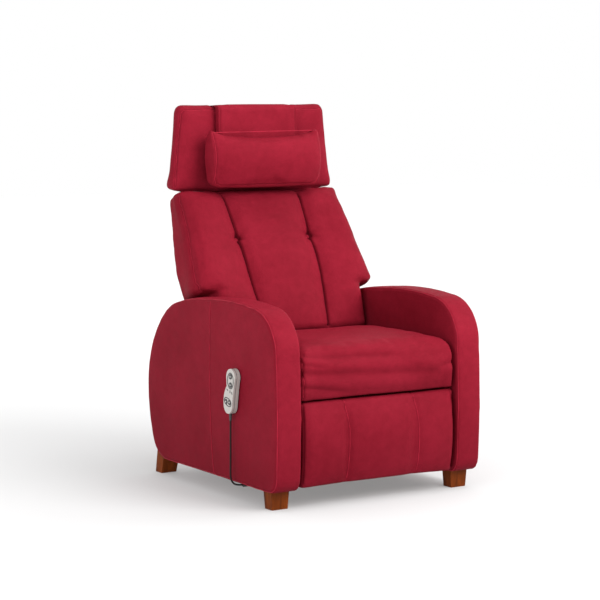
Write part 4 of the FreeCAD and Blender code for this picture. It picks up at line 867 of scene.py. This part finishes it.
def arc_points(start, through, finish, step):
    """Even points on the arc from start to finish."""
    ax, ay = start
    bx, by = through
    cx, cy = finish
    twice = 2 * (ax * (by - cy) + bx * (cy - ay) + cx * (ay - by))
    squares = [x * x + y * y for x, y in (start, through, finish)]
    centre = ((squares[0] * (by - cy) + squares[1] * (cy - ay) + squares[2] * (ay - by)) / twice,
              (squares[0] * (cx - bx) + squares[1] * (ax - cx) + squares[2] * (bx - ax)) / twice)
    angles = [math.atan2(y - centre[1], x - centre[0]) for x, y in (start, through, finish)]
    radius = math.hypot(ax - centre[0], ay - centre[1])
    sweep = (angles[2] - angles[0]) % math.tau
    if (angles[1] - angles[0]) % math.tau > sweep:
        sweep -= math.tau
    count = max(2, int(abs(sweep) * radius / step))
    return [(centre[0] + radius * math.cos(angles[0] + sweep * number / count),
             centre[1] + radius * math.sin(angles[0] + sweep * number / count))
            for number in range(count)]


def arm_outline(step):
    """The side outline of an arm's padding."""
    points = []
    start = ARM_START
    for through, finish in ARM_RUNS:
        if through is None:
            count = max(2, int(math.dist(start, finish) / step))
            points += [(start[0] + (finish[0] - start[0]) * number / count,
                        start[1] + (finish[1] - start[1]) * number / count)
                       for number in range(count)]
        else:
            points += arc_points(start, through, finish, step)
        start = finish
    # Padding swells the rear, the rear of the top and the underside past the frame
    swollen = []
    for y, z in points:
        lift = eased(z, 0.40, 0.55) * eased(y, -0.02, 0.14) * (1.0 - eased(y, 0.24, 0.36))
        drop = 1.0 - eased(z, 0.070, 0.160)
        swollen.append((y + SHIFT.y + 0.014 * float(eased(y, -0.06, 0.39)),
                        z + 0.006 * float(lift) - 0.006 * float(drop)))
    return swollen


def inside_outline(outline, x, depth, centre):
    """Points a little inside an arm's outline, towards its centre."""
    line = []
    for y, z in outline:
        step_y, step_z = centre[0] - y, centre[1] - z
        length = math.hypot(step_y, step_z)
        line.append((x, y + step_y / length * depth, z + step_z / length * depth))
    return line


class ChairArms(bpy.types.Operator):
    """Padded arms: side panels and a crowned band, with welted seams between them"""

    bl_idname = "chair.arms"
    bl_label = "Arms"

    def execute(self, context):
        outline = arm_outline(0.012)
        ring = outline + outline[:1]
        centre = (-0.02 + SHIFT.y, 0.34)
        for name, side in SIDES:
            low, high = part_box(f"{name}_arm_border")
            middle = (low.x + high.x) / 2
            half = (high.x - low.x) / 2
            piece = slab(f"{name}_arm_upholstery", low.x, high.x, outline)
            even_out(piece, 0.006, 3)
            refine(piece)

            # Crown: panels and band fall away towards the seams between them
            points = points_of(piece)
            flat = points * (0.0, 1.0, 1.0)
            edge, _ = nearness(flat, [(0.0, y, z) for y, z in ring], 0.2)
            across = np.abs(points[:, 0] - middle) / half
            on_panel = eased(across, 0.86, 1.0)
            fall = np.exp(-edge / 0.035) * 0.0045
            points[:, 0] -= np.sign(points[:, 0] - middle) * on_panel * fall
            inward = np.array(centre) - points[:, 1:]
            inward /= np.linalg.norm(inward, axis=1, keepdims=True)
            sink = bell(edge, 0.012) * across ** 3 * 0.005
            sink[points[:, 2] < 0.070] *= 0.3
            points[:, 1:] += inward * sink[:, None]
            push(piece, points, hills(points, (9.0, 3 + side, 0.0008), (26.0, 8, 0.0004)))

            # Seams along both edges of the band, and one down the outer panel
            for reach in (-1, 1):
                line = inside_outline(ring, middle + reach * (half - 0.0035), 0.0035, centre)
                crease(piece, line, 0.0020, 0.0034, 0.0006, 0.60)
            face_x = low.x if side < 0 else high.x
            seam = path_through([(face_x, y + SHIFT.y, z) for y, z in (
                (-0.030, 0.606), (-0.028, 0.54), (-0.026, 0.40), (-0.030, 0.26),
                (-0.036, 0.16), (-0.046, 0.061))], 0.01)
            crease(piece, [(x, y - 0.0022, z) for x, y, z in seam], 0.0012, 0.0026, 0.0, 0.25)
            welt(piece, f"{name}_arm_panel_welt", seam, 0.6, "chair")
            upholster(piece, "chair", [f"{name}_arm_border", f"{name}_arm_inner_pad",
                                       f"{name}_arm_outer_pad"])
            for reach, label in ((-1, "low"), (1, "high")):
                line = inside_outline(outline, middle + reach * (half - 0.0040), 0.0040, centre)
                welt(piece, f"{name}_arm_welt_{label}", line, 0.7, "chair", closed=True)
        return {"FINISHED"}


# Folds across the seat's front: places across and up, then depth, width, swell, painted shade
# and the shares of its length over which a fold fades in and out
SEAT_FOLDS = (
    (((-0.275, 0.466), (-0.20, 0.460), (-0.077, 0.453), (0.06, 0.447), (0.15, 0.444)),
     0.0058, 0.0125, 0.0030, 0.20, (0.0, 0.45)),
    (((-0.275, 0.416), (-0.15, 0.403), (-0.018, 0.396), (0.13, 0.388), (0.275, 0.378)),
     0.0046, 0.0140, 0.0026, 0.12, (0.0, 0.25)),
    (((-0.275, 0.369), (-0.23, 0.363), (-0.16, 0.352), (-0.09, 0.346)),
     0.0040, 0.0085, 0.0022, 0.18, (0.0, 0.60)),
    (((0.215, 0.400), (0.245, 0.405), (0.275, 0.412)),
     0.0034, 0.0080, 0.0020, 0.15, (0.60, 0.0)),
    (((-0.275, 0.440), (-0.25, 0.437), (-0.215, 0.431), (-0.17, 0.428)),
     0.0026, 0.0065, 0.0014, 0.15, (0.0, 0.70)),
)


class ChairSeat(bpy.types.Operator):
    """Seat cushion: full over the front edge, with soft folds that start at its left end"""

    bl_idname = "chair.seat"
    bl_label = "Seat cushion"

    def execute(self, context):
        low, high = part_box("seat_cushion")
        piece = soft_copy("seat_upholstery", ["seat_cushion"], sizes().pitch)
        downward = np.maximum(-normals_of(piece)[:, 2], 0.0)
        plump(piece, 0.009, np.clip(1.0 - downward * 1.5, 0.0, 1.0))
        keep_between(piece, (low.x, low.y - 0.005, low.z), (high.x, high.y, high.z + 0.004))
        points = points_of(piece)
        for end in (low.x, high.x):
            squarer(points, (0, 1), (end, low.y), 0.045, 4.5)
            squarer(points, (0, 2), (end, high.z), 0.055, 3.0)
        set_points(piece, points)

        # Its rear runs on under the back cushion's lower edge
        x, y, z = points.T
        tucked = eased(y, high.y - 0.045, high.y - 0.006)
        tucked *= eased(z, low.z + 0.004, low.z + 0.030)
        tucked *= 1.0 - eased(z, high.z - 0.052, high.z - 0.036)
        tucked *= 1.0 - eased(np.abs(x - SHIFT.x), 0.235, 0.262)
        y += tucked * 0.024
        z -= (eased(-z, -low.z - 0.020, -low.z)
              * eased(-y, -low.y - 0.040, -low.y - 0.010) * 0.0022)
        push(piece, points, hills(points, (8.0, 5, 0.0016), (22.0, 6, 0.0006)))
        # Painted shade on the lower part of the front, beneath the front roll
        under = 1.0 - eased(z, low.z + 0.010, low.z + 0.100)
        mark(piece, under * (1.0 - eased(y, low.y + 0.03, low.y + 0.09)) * 0.22)

        for route, *fold in SEAT_FOLDS:
            places = [(SHIFT.x + x, low.y - 0.06, z) for x, z in route]
            crease(piece, seam_line(piece, places, step=0.008), *fold)

        # Sewn seams round both ends
        for label, edge_x in (("left", low.x + 0.006), ("right", high.x - 0.006)):
            tall = np.linspace(low.z + 0.01, high.z - 0.05, 26)
            flat = np.linspace(low.y + 0.03, high.y - 0.02, 60)
            line = trace(piece, [(edge_x, low.y - 0.05, z) for z in tall], REARWARD)
            line += trace(piece, [(edge_x, y, high.z + 0.05) for y in flat], DOWNWARD)
            welt(piece, f"seat_welt_{label}", line, 0.6, "chair", 0.0016, 0.0034, 0.0006, 0.35)
        keep_between(piece, (low.x, low.y - 0.007, low.z - 0.003),
                     (high.x, high.y + 0.026, high.z + 0.006))
        upholster(piece, "chair", ["seat_cushion"])
        return {"FINISHED"}


# Across and up the leaning back: the channels with how far the right one bows out, the two
# tufts, and the welt round a wing, which bends in under it
CHANNEL = ((0.113, 0.030), (0.114, 0.12), (0.120, 0.21), (0.126, 0.28), (0.133, 0.350),
           (0.138, 0.43), (0.144, 0.524))
RIGHT_BOW = (0.016, 0.025, 0.029, 0.023, 0.009, 0.008, 0.006)
TUFTS = ((-1, -0.133), (1, 0.142))
TUFT_UP = 0.350
WING_WELT = (
    (0.286, 0.154), (0.303, 0.1555), (0.317, 0.163), (0.3265, 0.180), (0.3290, 0.206),
    (0.3225, 0.27), (0.3150, 0.34), (0.3080, 0.42), (0.3035, 0.49), (0.3010, 0.518),
    (0.296, 0.528))
# A place ahead of the leaning back, from which seams are drawn onto it
AHEAD_OF_BACK = -0.25


class ChairBack(bpy.types.Operator):
    """Quilted back cushion: two long channels, two tufts and welted edges"""

    bl_idname = "chair.backrest"
    bl_label = "Back cushion"

    def execute(self, context):
        nodes = ["back_cushion", "back_cover"]
        piece = soft_copy("back_upholstery", nodes, 0.0062)
        x, y, z = in_frame(piece, BACK_FRAME).T
        plump(piece, 0.009, eased(-y, 0.096, 0.116) * np.clip((z - 0.02) / 0.12, 0.15, 1.0))

        # Top edge rolls up in front of the head block, wings reach forward over the arms
        spots = in_frame(piece, BACK_FRAME)
        x, y, z = spots.T
        up = z.copy()
        front = eased(-y, 0.015, 0.130)
        roll = eased(up, 0.500, 0.530) * eased(-y, 0.095, 0.120)
        wing = eased(np.abs(x), 0.150, 0.290) * hump(up, 0.030, 0.150, 0.230, 0.540)
        full = hump(up, 0.150, 0.330, 0.360, 0.525)
        down = hump(up, 0.080, 0.178, 0.240, 0.400)
        y -= front * (wing * 0.029 + full * (1.0 - wing) * 0.011)
        z += roll * 0.004 - front * wing * down * 0.012
        rear = eased(y, -0.110, -0.020) * (1.0 - eased(up, 0.165, 0.300))
        rear *= eased(np.abs(x), 0.270, 0.330) * eased(up, 0.140, 0.170)
        x -= np.sign(x) * rear * 0.020
        set_points(piece, moved(spots, BACK_FRAME))

        # Channels: panels roll into a narrow sewn line
        for side in (-1, 1):
            channel = [(side * (x + (out if side > 0 else 0.0)), AHEAD_OF_BACK, z)
                       for out, (x, z) in zip(RIGHT_BOW, CHANNEL)]
            for fold in ((0.0050, 0.0150, 0.0018, 0.10),
                         (0.0060, 0.0040, 0.0004, 1.0, (0.0, 0.05))):
                crease(piece, seam_line(piece, channel, frame=BACK_FRAME), *fold)
        self.pull_tufts(piece)

        # Rear: a low crown between two long seams
        points = points_of(piece)
        x, y, z = in_frame(piece, BACK_FRAME).T
        turned = normals_of(piece) @ np.array(BACK_FRAME.to_3x3())
        rear = np.clip(turned[:, 1], 0.0, 1.0) ** 2 * eased(y, -0.060, -0.045)
        crown = bulge(x, 0.30) * bulge(z - 0.30, 0.22) * 0.007
        move = rear * (crown + uneven(points, 8.0, 21) * 0.0012)
        push(piece, points, move * (1.0 - 0.8 * eased(z, 0.480, 0.500)))
        for x in (-0.16, 0.16):
            line = seam_line(piece, [(x, 0.20, 0.09), (x, 0.20, 0.515)], FORWARD, BACK_FRAME,
                             0.007)
            crease(piece, line, 0.0024, 0.0034, 0.0008, 0.5)

        # Seams where the front panel meets the gusset
        for name, side in SIDES:
            corners = [(side * x, AHEAD_OF_BACK, z) for x, z in WING_WELT]
            line = seam_line(piece, corners, frame=BACK_FRAME)
            welt(piece, f"back_welt_{name}", line, 0.7, "back", 0.0024, 0.0032, 0.0006, 0.65)
        top = [(x, AHEAD_OF_BACK, 0.529) for x in np.linspace(-0.292, 0.292, 90)]
        crease(piece, trace(piece, top, REARWARD, BACK_FRAME), 0.0014, 0.0034, 0.0006, 0.35)
        upholster(piece, "back", nodes)

        # Covered buttons, domed, sunk in the tufts
        buttons = []
        for _, tuft_x in TUFTS:
            deselect()
            bpy.ops.mesh.primitive_uv_sphere_add(segments=24, ring_count=12, radius=0.0078)
            button = context.object
            set_points(button, points_of(button) * (1.0, 0.34, 1.0))
            spot = trace(piece, [(tuft_x, AHEAD_OF_BACK, TUFT_UP)], REARWARD, BACK_FRAME)[0]
            spot = BACK_FRAME.inverted() @ spot + Vector((0.0, 0.0002, 0.0))
            button.matrix_world = BACK_FRAME @ Matrix.Translation(spot)
            settle(button)
            buttons.append(button)
        button = joined(buttons)
        button.name = "tuft_covers"
        smooth_shade(button)
        fit_out(button, "crimson_leather", "back", "tuft_buttons")
        return {"FINISHED"}

    def pull_tufts(self, piece):
        """Tufts, with folds that fan out of them, slack over the middle panel, and painted shade
        in the tufts' pits and over the upper back.
        """
        points = points_of(piece)
        x, y, z = in_frame(piece, BACK_FRAME).T
        ahead = ramp(-y, 0.07, 0.03)
        crowns = bulge(x, 0.125)
        crowns += bulge(np.abs(x) - 0.222, 0.085) * 0.8
        move = ahead * hump(z, 0.03, 0.10, 0.46, 0.525) * crowns * 0.0050
        # Painted shade over the upper back, deepest in the middle beneath the pillow
        deep = ahead * eased(z, 0.20, 0.44)
        deep *= 0.10 + 0.10 * bell(x, 0.13)
        front = ramp(-y, 0.07, 0.02)
        for side, tuft_x in TUFTS:
            across, up = x - tuft_x, z - TUFT_UP
            away = np.hypot(across, up)
            move -= 0.0070 * bell(away, 0.0125) * front
            fans = np.cos(np.arctan2(up, across) * 5 + side * 0.6) * bell(away - 0.024, 0.018)
            move += fans * 0.0014 * front
            # Painted shade deep in each tuft's pit
            deep = np.maximum(deep, bell(away, 0.0090) * 0.75 * front)
        heights = z + uneven(points, 6.0, 12) * 0.02
        ripples = np.sin(heights / 0.052 * math.tau) * bell(heights - 0.40, 0.11)
        move += bell(x, 0.085) * ramp(z, 0.0, 0.1) * ripples * 0.0011
        move += hills(points, (7.0, 14, 0.0020), (24.0, 15, 0.0007))
        push(piece, points, move)
        mark(piece, deep)


class ChairRearPanel(bpy.types.Operator):
    """Padded panel that closes the base behind, with two seams"""

    bl_idname = "chair.rear_panel"
    bl_label = "Rear panel"

    def execute(self, context):
        panel = soft_copy("rear_panel_upholstery", ["rear_panel"], 0.005)
        low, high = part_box("rear_panel")
        points = points_of(panel)
        outside = np.clip(normals_of(panel)[:, 1], 0.0, 1.0)
        edge = np.minimum.reduce([points[:, 0] - low.x, high.x - points[:, 0],
                                  points[:, 2] - low.z, high.z - points[:, 2]])
        move = outside * (1.0 - np.exp(-np.maximum(edge, 0.0) / 0.03)) * 0.006
        move += uneven(points, 7.0, 31) * 0.0010 * outside
        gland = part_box("power_gland")
        centre = np.array((gland[0] + gland[1]) / 2)
        near = bell(np.linalg.norm((points - centre)[:, [0, 2]], axis=1), 0.05)
        push(panel, points, move * (1.0 - near))
        for x in (SHIFT.x - 0.14, SHIFT.x + 0.14):
            line = seam_line(panel, [(x, 0.6, low.z + 0.01), (x, 0.6, high.z - 0.01)], FORWARD,
                             step=0.007)
            crease(panel, line, 0.0022, 0.0034, 0.0006, 0.5)
        upholster(panel, "chair", ["rear_panel"])
        return {"FINISHED"}


class ChairHead(bpy.types.Operator):
    """Head block with welted edges, and the wide band that wraps over it"""

    bl_idname = "chair.headrest"
    bl_label = "Headrest"

    def execute(self, context):
        piece = soft_copy("head_upholstery", ["headrest_cushion"], sizes().pitch)
        x, y, z = in_frame(piece, HEAD_FRAME).T
        low_part = np.clip((z - 0.012) / 0.05, 0.1, 1.0)
        beside_band = ramp(np.abs(x), 0.150, 0.03)
        slot_hold = ramp(np.abs(y - 0.010), 0.009, 0.01)
        plump(piece, 0.007, low_part * beside_band * slot_hold, 0.001)

        # Lower front edge comes down over the back's top edge, and the top is full
        spots = in_frame(piece, HEAD_FRAME)
        x, y, z = spots.T
        out = np.abs(x)
        low_front = eased(-z, -0.040, -0.010) * eased(-y, -0.010, 0.006)
        z -= low_front * (0.0040 + hump(out, 0.08, 0.12, 0.20, 0.25) * 0.0014)
        belly = hump(y, -0.012, 0.006, 0.009, 0.036)
        belly *= 1.0 - 0.85 * eased(out, 0.235, 0.300)
        z -= belly * eased(-z, -0.030, -0.006) * 0.0145
        z += eased(z, 0.190, 0.262) * eased(out, 0.152, 0.163) * 0.0070
        points = moved(spots, HEAD_FRAME)
        set_points(piece, points)
        waves = hills(points, (8.0, 41, 0.0018), (24.0, 42, 0.0006))
        push(piece, points, waves * ramp(out, 0.150, 0.02))

        # Welted seam round the front panel, then one round the rear
        half = [(0.3089, 0.016), (0.3040, 0.06), (0.2928, 0.16), (0.2835, 0.240),
                (0.2815, 0.256), (0.272, 0.2645)]
        for label, heading, start, inset in (("front", REARWARD, -0.2, 0.0085),
                                             ("rear", FORWARD, 0.2, 0.010)):
            ring = [(x - inset, start, z) for x, z in half]
            ring += [(x, start, 0.2650) for x in (0.2, 0.1, 0.0, -0.1, -0.2)]
            ring += [(-(x - inset), start, z) for x, z in reversed(half)]
            line = seam_line(piece, ring, heading, HEAD_FRAME)
            welt(piece, f"head_welt_{label}", line, 0.7, "headrest",
                 0.0024, 0.0032, 0.0006, 0.55)
        upholster(piece, "headrest", ["headrest_cushion"])

        band = soft_copy("head_band_upholstery", ["headrest_band"], 0.0035)
        points = points_of(band)
        x, y, z = in_frame(band, HEAD_FRAME).T
        _, to_rear, upward = (normals_of(band) @ np.array(HEAD_FRAME.to_3x3())).T
        outside = ((to_rear < -0.3) & (y < -0.02)) | (
            (upward > 0.3) & (z > 0.276)) | ((to_rear > 0.3) & (y > 0.05))
        crown = bulge(x, 0.15) * (0.004 - 0.003 * eased(z, 0.262, 0.276))
        push(band, points, outside * (crown + uneven(points, 9.0, 51) * 0.0009))
        spots = in_frame(band, HEAD_FRAME)
        x, y, z = spots.T
        z -= eased(np.abs(x), 0.105, 0.150) * eased(z, 0.279, 0.281) * 0.003
        set_points(band, moved(spots, HEAD_FRAME))
        for x in (-0.1445, 0.1445):
            line = []
            for heading, first, last in (
                    (REARWARD, (x, -0.2, 0.020), (x, -0.2, 0.268)),
                    (DOWNWARD, (x, -0.030, 0.4), (x, 0.046, 0.4)),
                    (FORWARD, (x, 0.2, 0.266), (x, 0.2, 0.156))):
                line += seam_line(band, [first, last], heading, HEAD_FRAME)
            crease(band, line, 0.0014, 0.0028, 0.0005, 0.35)
        upholster(band, "headrest", ["headrest_band"])
        return {"FINISHED"}


class ChairPillow(bpy.types.Operator):
    """Neck pillow: a boxed pillow with a welted front face and small ears at its upper corners
    """

    bl_idname = "chair.pillow"
    bl_label = "Neck pillow"

    def execute(self, context):
        piece = soft_copy("pillow_upholstery", ["neck_pillow"], 0.006)
        spots = in_frame(piece, HEAD_FRAME)
        low, high = spots.min(0), spots.max(0)
        half, middle, tall = high[0], (low[2] + high[2]) / 2, (high[2] - low[2]) / 2
        plump(piece, 0.007, ramp(high[1] - spots[:, 1], 0.004, 0.02), 0.001)

        # Top edge sags between two pinched ears, and the lower edge droops
        spots = in_frame(piece, HEAD_FRAME)
        x, y, z = spots.T
        across = np.abs(x) / half
        upper = eased(z, middle + tall * 0.3, middle + tall)
        z -= upper * np.clip(1.0 - across ** 2.4, 0.0, 1.0) * 0.0225
        ear = (eased(across, 0.80, 0.94)
               * eased(z, middle + tall * 0.60, middle + tall * 0.95))
        ahead = eased(-y, 0.060, 0.105)
        z += ear * (0.009 + ahead * 0.009)
        x += np.sign(x) * ear * ahead * 0.003
        y -= ahead * 0.004
        droop = 1.0 - eased(z, middle - tall, middle - tall * 0.4)
        droop *= 0.25 + 0.75 * eased(-y, 0.055, 0.092)
        z -= droop * (0.0080 + np.clip(1.0 - across ** 3, 0.0, 1.0) * 0.0095)
        points = moved(spots, HEAD_FRAME)
        set_points(piece, points)
        move = hills(points, (10.0, 61, 0.0014), (28.0, 62, 0.0005))
        ripple = np.sin(x / 0.047 * math.tau + uneven(points, 9.0, 63) * 3.0)
        move += (ripple * bell(z - middle - tall * 0.80, 0.020)
                 * np.clip(across * 1.6 - 0.2, 0.0, 1.0) * 0.0010)
        push(piece, points, move)

        # Welt round the front face
        wide = half - 0.013
        high_z, low_z = middle + tall - 0.008, middle - tall + 0.003
        ring = [(-wide, low_z + 0.024), (-wide, high_z - 0.006), (-wide + 0.004, high_z + 0.002)]
        ring += [(x, high_z + 0.002 - (1.0 - abs(x / wide) ** 2.4) * 0.0190)
                 for x in (-0.16, -0.10, -0.05, 0.0, 0.05, 0.10, 0.16)]
        ring += [(wide - 0.004, high_z + 0.002), (wide, high_z - 0.006), (wide, low_z + 0.024),
                 (wide - 0.007, low_z + 0.007), (wide - 0.026, low_z),
                 (-wide + 0.026, low_z), (-wide + 0.007, low_z + 0.007),
                 (-wide, low_z + 0.024)]
        line = seam_line(piece, [(x, -0.3, z) for x, z in ring], frame=HEAD_FRAME)
        welt(piece, "pillow_welt", line, 0.7, "pillow", 0.0018, 0.0032, 0.0006, 0.45)
        upholster(piece, "pillow", ["neck_pillow"])
        return {"FINISHED"}


# Seams down the footrest pad, across and up it; the inner two are welted
INNER_SEAMS = (
    ((-0.125, 0.308), (-0.120, 0.27), (-0.116, 0.234), (-0.117, 0.16), (-0.119, 0.082)),
    ((0.129, 0.311), (0.134, 0.27), (0.138, 0.211), (0.139, 0.15), (0.139, 0.082)),
)
OUTER_SEAMS = (
    ((-0.2735, 0.306), (-0.2745, 0.20), (-0.2735, 0.082)),
    ((0.2700, 0.306), (0.2745, 0.198), (0.2735, 0.082)),
)


class ChairFootrest(bpy.types.Operator):
    """Footrest panel: three flat panels between raised, topstitched seams"""

    bl_idname = "chair.footrest"
    bl_label = "Footrest pad"

    def execute(self, context):
        low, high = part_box("footrest_pad")
        piece = soft_copy("footrest_upholstery", ["footrest_pad"], sizes().pitch)
        x, y, z = points_of(piece).T
        hold = ramp(high.y - y, 0.004, 0.02)
        hold *= 1.0 - eased(z, high.z - 0.022, high.z - 0.004)
        plump(piece, 0.004, hold)
        points = points_of(piece)
        x, y, z = points.T
        z += eased(z, high.z - 0.03, high.z - 0.006) * 0.0025
        z -= (1.0 - eased(z, low.z + 0.006, low.z + 0.080)) * 0.0075
        set_points(piece, points)
        keep_between(piece, (low.x, low.y - 0.003, low.z - 0.0075),
                     (high.x, high.y, high.z + 0.002))
        points = points_of(piece)
        push(piece, points, hills(points, (8.0, 71, 0.0012), (26.0, 72, 0.0004)))

        for number, route in enumerate(INNER_SEAMS + OUTER_SEAMS, 1):
            tall = path_through([(SHIFT.x + x, low.y - 0.1, z) for x, z in route], SEAM_STEP)
            line = trace(piece, reversed(tall), REARWARD)
            x = SHIFT.x + route[0][0]
            line += seam_line(piece, [(x, low.y + 0.022, high.z + 0.1),
                                      (x, high.y - 0.004, high.z + 0.1)], DOWNWARD)
            if route in INNER_SEAMS:
                crease(piece, line, 0.0012, 0.0110, 0.0, 0.0)
                crease(piece, [(x - 0.0020, y, z) for x, y, z in line], 0.0012, 0.0022, 0.0, 0.2)
                welt(piece, f"footrest_seam_{number}", line, 0.6, "footrest")
            else:
                crease(piece, line, 0.0014, 0.0030, 0.0005, 0.40)
        keep_between(piece, (low.x, low.y - 0.006, low.z - 0.0085),
                     (high.x, high.y, high.z + 0.0025))
        upholster(piece, "footrest", ["footrest_pad"])
        return {"FINISHED"}


def key_middle(first, second):
    """The point midway between two keys."""
    boxes = [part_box(first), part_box(second)]
    return sum((low + high for low, high in boxes), Vector()) / 4


def oval(x, centre, wide, tall, tilt):
    """A closed oval in the handset's face."""
    points = []
    for number in range(64):
        angle = number / 64 * math.tau
        across, up = math.cos(angle) * wide, math.sin(angle) * tall
        points.append((x, centre.y + across * math.cos(tilt) - up * math.sin(tilt),
                       centre.z + across * math.sin(tilt) + up * math.cos(tilt)))
    return points


class ChairHandset(bpy.types.Operator):
    """Handset: two rounded shells, rings round the keys and plain arrows on them"""

    bl_idname = "chair.handset"
    bl_label = "Handset"

    def execute(self, context):
        for node, name, edge in (("handset_front_shell", "handset_face", 0.0026),
                                 ("handset_back_shell", "handset_back", 0.0012)):
            piece = shape_copy(name, node)
            edit_all(piece, remove_doubles={"threshold": 0.00001},
                     tris_convert_to_quads={"face_threshold": 0.02, "shape_threshold": 0.02},
                     dissolve_limited={"angle_limit": 0.01})
            settle(piece)
            if name == "handset_face":
                points = points_of(piece)
                rim = points[points[:, 0] > points[:, 0].max() - 0.0001]
            modify(piece, "BEVEL", width=edge, segments=4, limit_method="ANGLE",
                   angle_limit=math.radians(60))
            smooth_shade(piece, math.radians(40))
            fit_out(piece, "handset_grey", "handset", node)

        # Dark line where the two shells meet
        low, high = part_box("handset_front_shell")
        turns = np.arctan2(rim[:, 2] - (low.z + high.z) / 2, rim[:, 1] - (low.y + high.y) / 2)
        tube("handset_parting_line", rim[np.argsort(turns)].tolist(), 0.0006, "handset",
             "button_black", closed=True)

        # Raised outlines round each pair of keys, and three short bars between them
        face = low.x - 0.0001
        upper = key_middle("handset_button_top", "handset_button_second")
        lower = key_middle("handset_button_front", "handset_button_rear")
        for name, centre, wide, tall, tilt in (("upper", upper, 0.0175, 0.0240, 0.0),
                                               ("lower", lower, 0.0215, 0.0115, 0.32)):
            tube(f"handset_outline_{name}", oval(face, centre, wide, tall, tilt), 0.0013,
                 "handset", "button_black", closed=True)
        gap = (upper + lower) / 2
        for number, (side, up, lean) in enumerate(((0.010, 0.004, 0.5), (-0.006, 0.0, 1.6),
                                                   (-0.017, -0.004, 1.0)), 1):
            reach = Vector((0.0, math.cos(lean), math.sin(lean))) * 0.0042
            spot = Vector((face, gap.y + side, gap.z + up))
            tube(f"handset_bar_{number}", [spot - reach, spot + reach], 0.0013, "handset",
                 "button_black")

        # Plain arrows, up and down, on the keys
        for label, turn in (("top", 0.0), ("second", math.pi), ("front", 0.0),
                            ("rear", math.pi)):
            first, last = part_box(f"handset_button_{label}")
            y, z = (first.y + last.y) / 2, (first.z + last.z) / 2
            corners = [(y + math.sin(spoke + turn) * 0.0040, z + math.cos(spoke + turn) * 0.0040)
                       for spoke in (0.0, math.tau / 3, math.tau * 2 / 3)]
            arrow = slab(f"key_arrow_{label}", first.x - 0.0003, first.x + 0.0002, corners)
            fit_out(arrow, "button_mark", f"button_{label}")
        return {"FINISHED"}


class ChairFinishes(bpy.types.Operator):
    """Finishes for the pieces that keep their CAD shape"""

    bl_idname = "chair.finishes"
    bl_label = "Frame and metalwork finishes"

    def execute(self, context):
        for part in RECORD["subparts"]:
            piece = bpy.data.objects[part["node"]]
            if not piece.hide_render:
                for entry in piece.material_slots:
                    entry.material = finish_of(part["material_slot"])
        return {"FINISHED"}


class ChairPanel(bpy.types.Panel):
    """Lists the chair's pieces in the sidebar"""

    bl_idname = "VIEW3D_PT_chair"
    bl_label = "Reflexology chair"
    bl_space_type = "VIEW_3D"
    bl_region_type = "UI"
    bl_category = "Chair"

    def draw(self, context):
        for group in (context.scene.chair_sizes, context.scene.chair_colours):
            for name in group.__annotations__:
                self.layout.prop(group, name)
        for step in STEPS:
            self.layout.operator(step.bl_idname)


STEPS = (
    ChairStudio, ChairCord, ChairArms, ChairSeat, ChairBack, ChairRearPanel, ChairHead,
    ChairPillow, ChairFootrest, ChairHandset, ChairFinishes,
)
CLASSES = (ChairSizes, ChairColours) + STEPS + (ChairPanel,)


def register():
    for item in CLASSES:
        bpy.utils.register_class(item)
    bpy.types.Scene.chair_sizes = PointerProperty(type=ChairSizes)
    bpy.types.Scene.chair_colours = PointerProperty(type=ChairColours)


def unregister():
    del bpy.types.Scene.chair_colours
    del bpy.types.Scene.chair_sizes
    for item in reversed(CLASSES):
        bpy.utils.unregister_class(item)


def main():
    register()
    for step in STEPS:
        area, name = step.bl_idname.split(".")
        getattr(getattr(bpy.ops, area), name)()


if __name__ == "__main__":
    main()
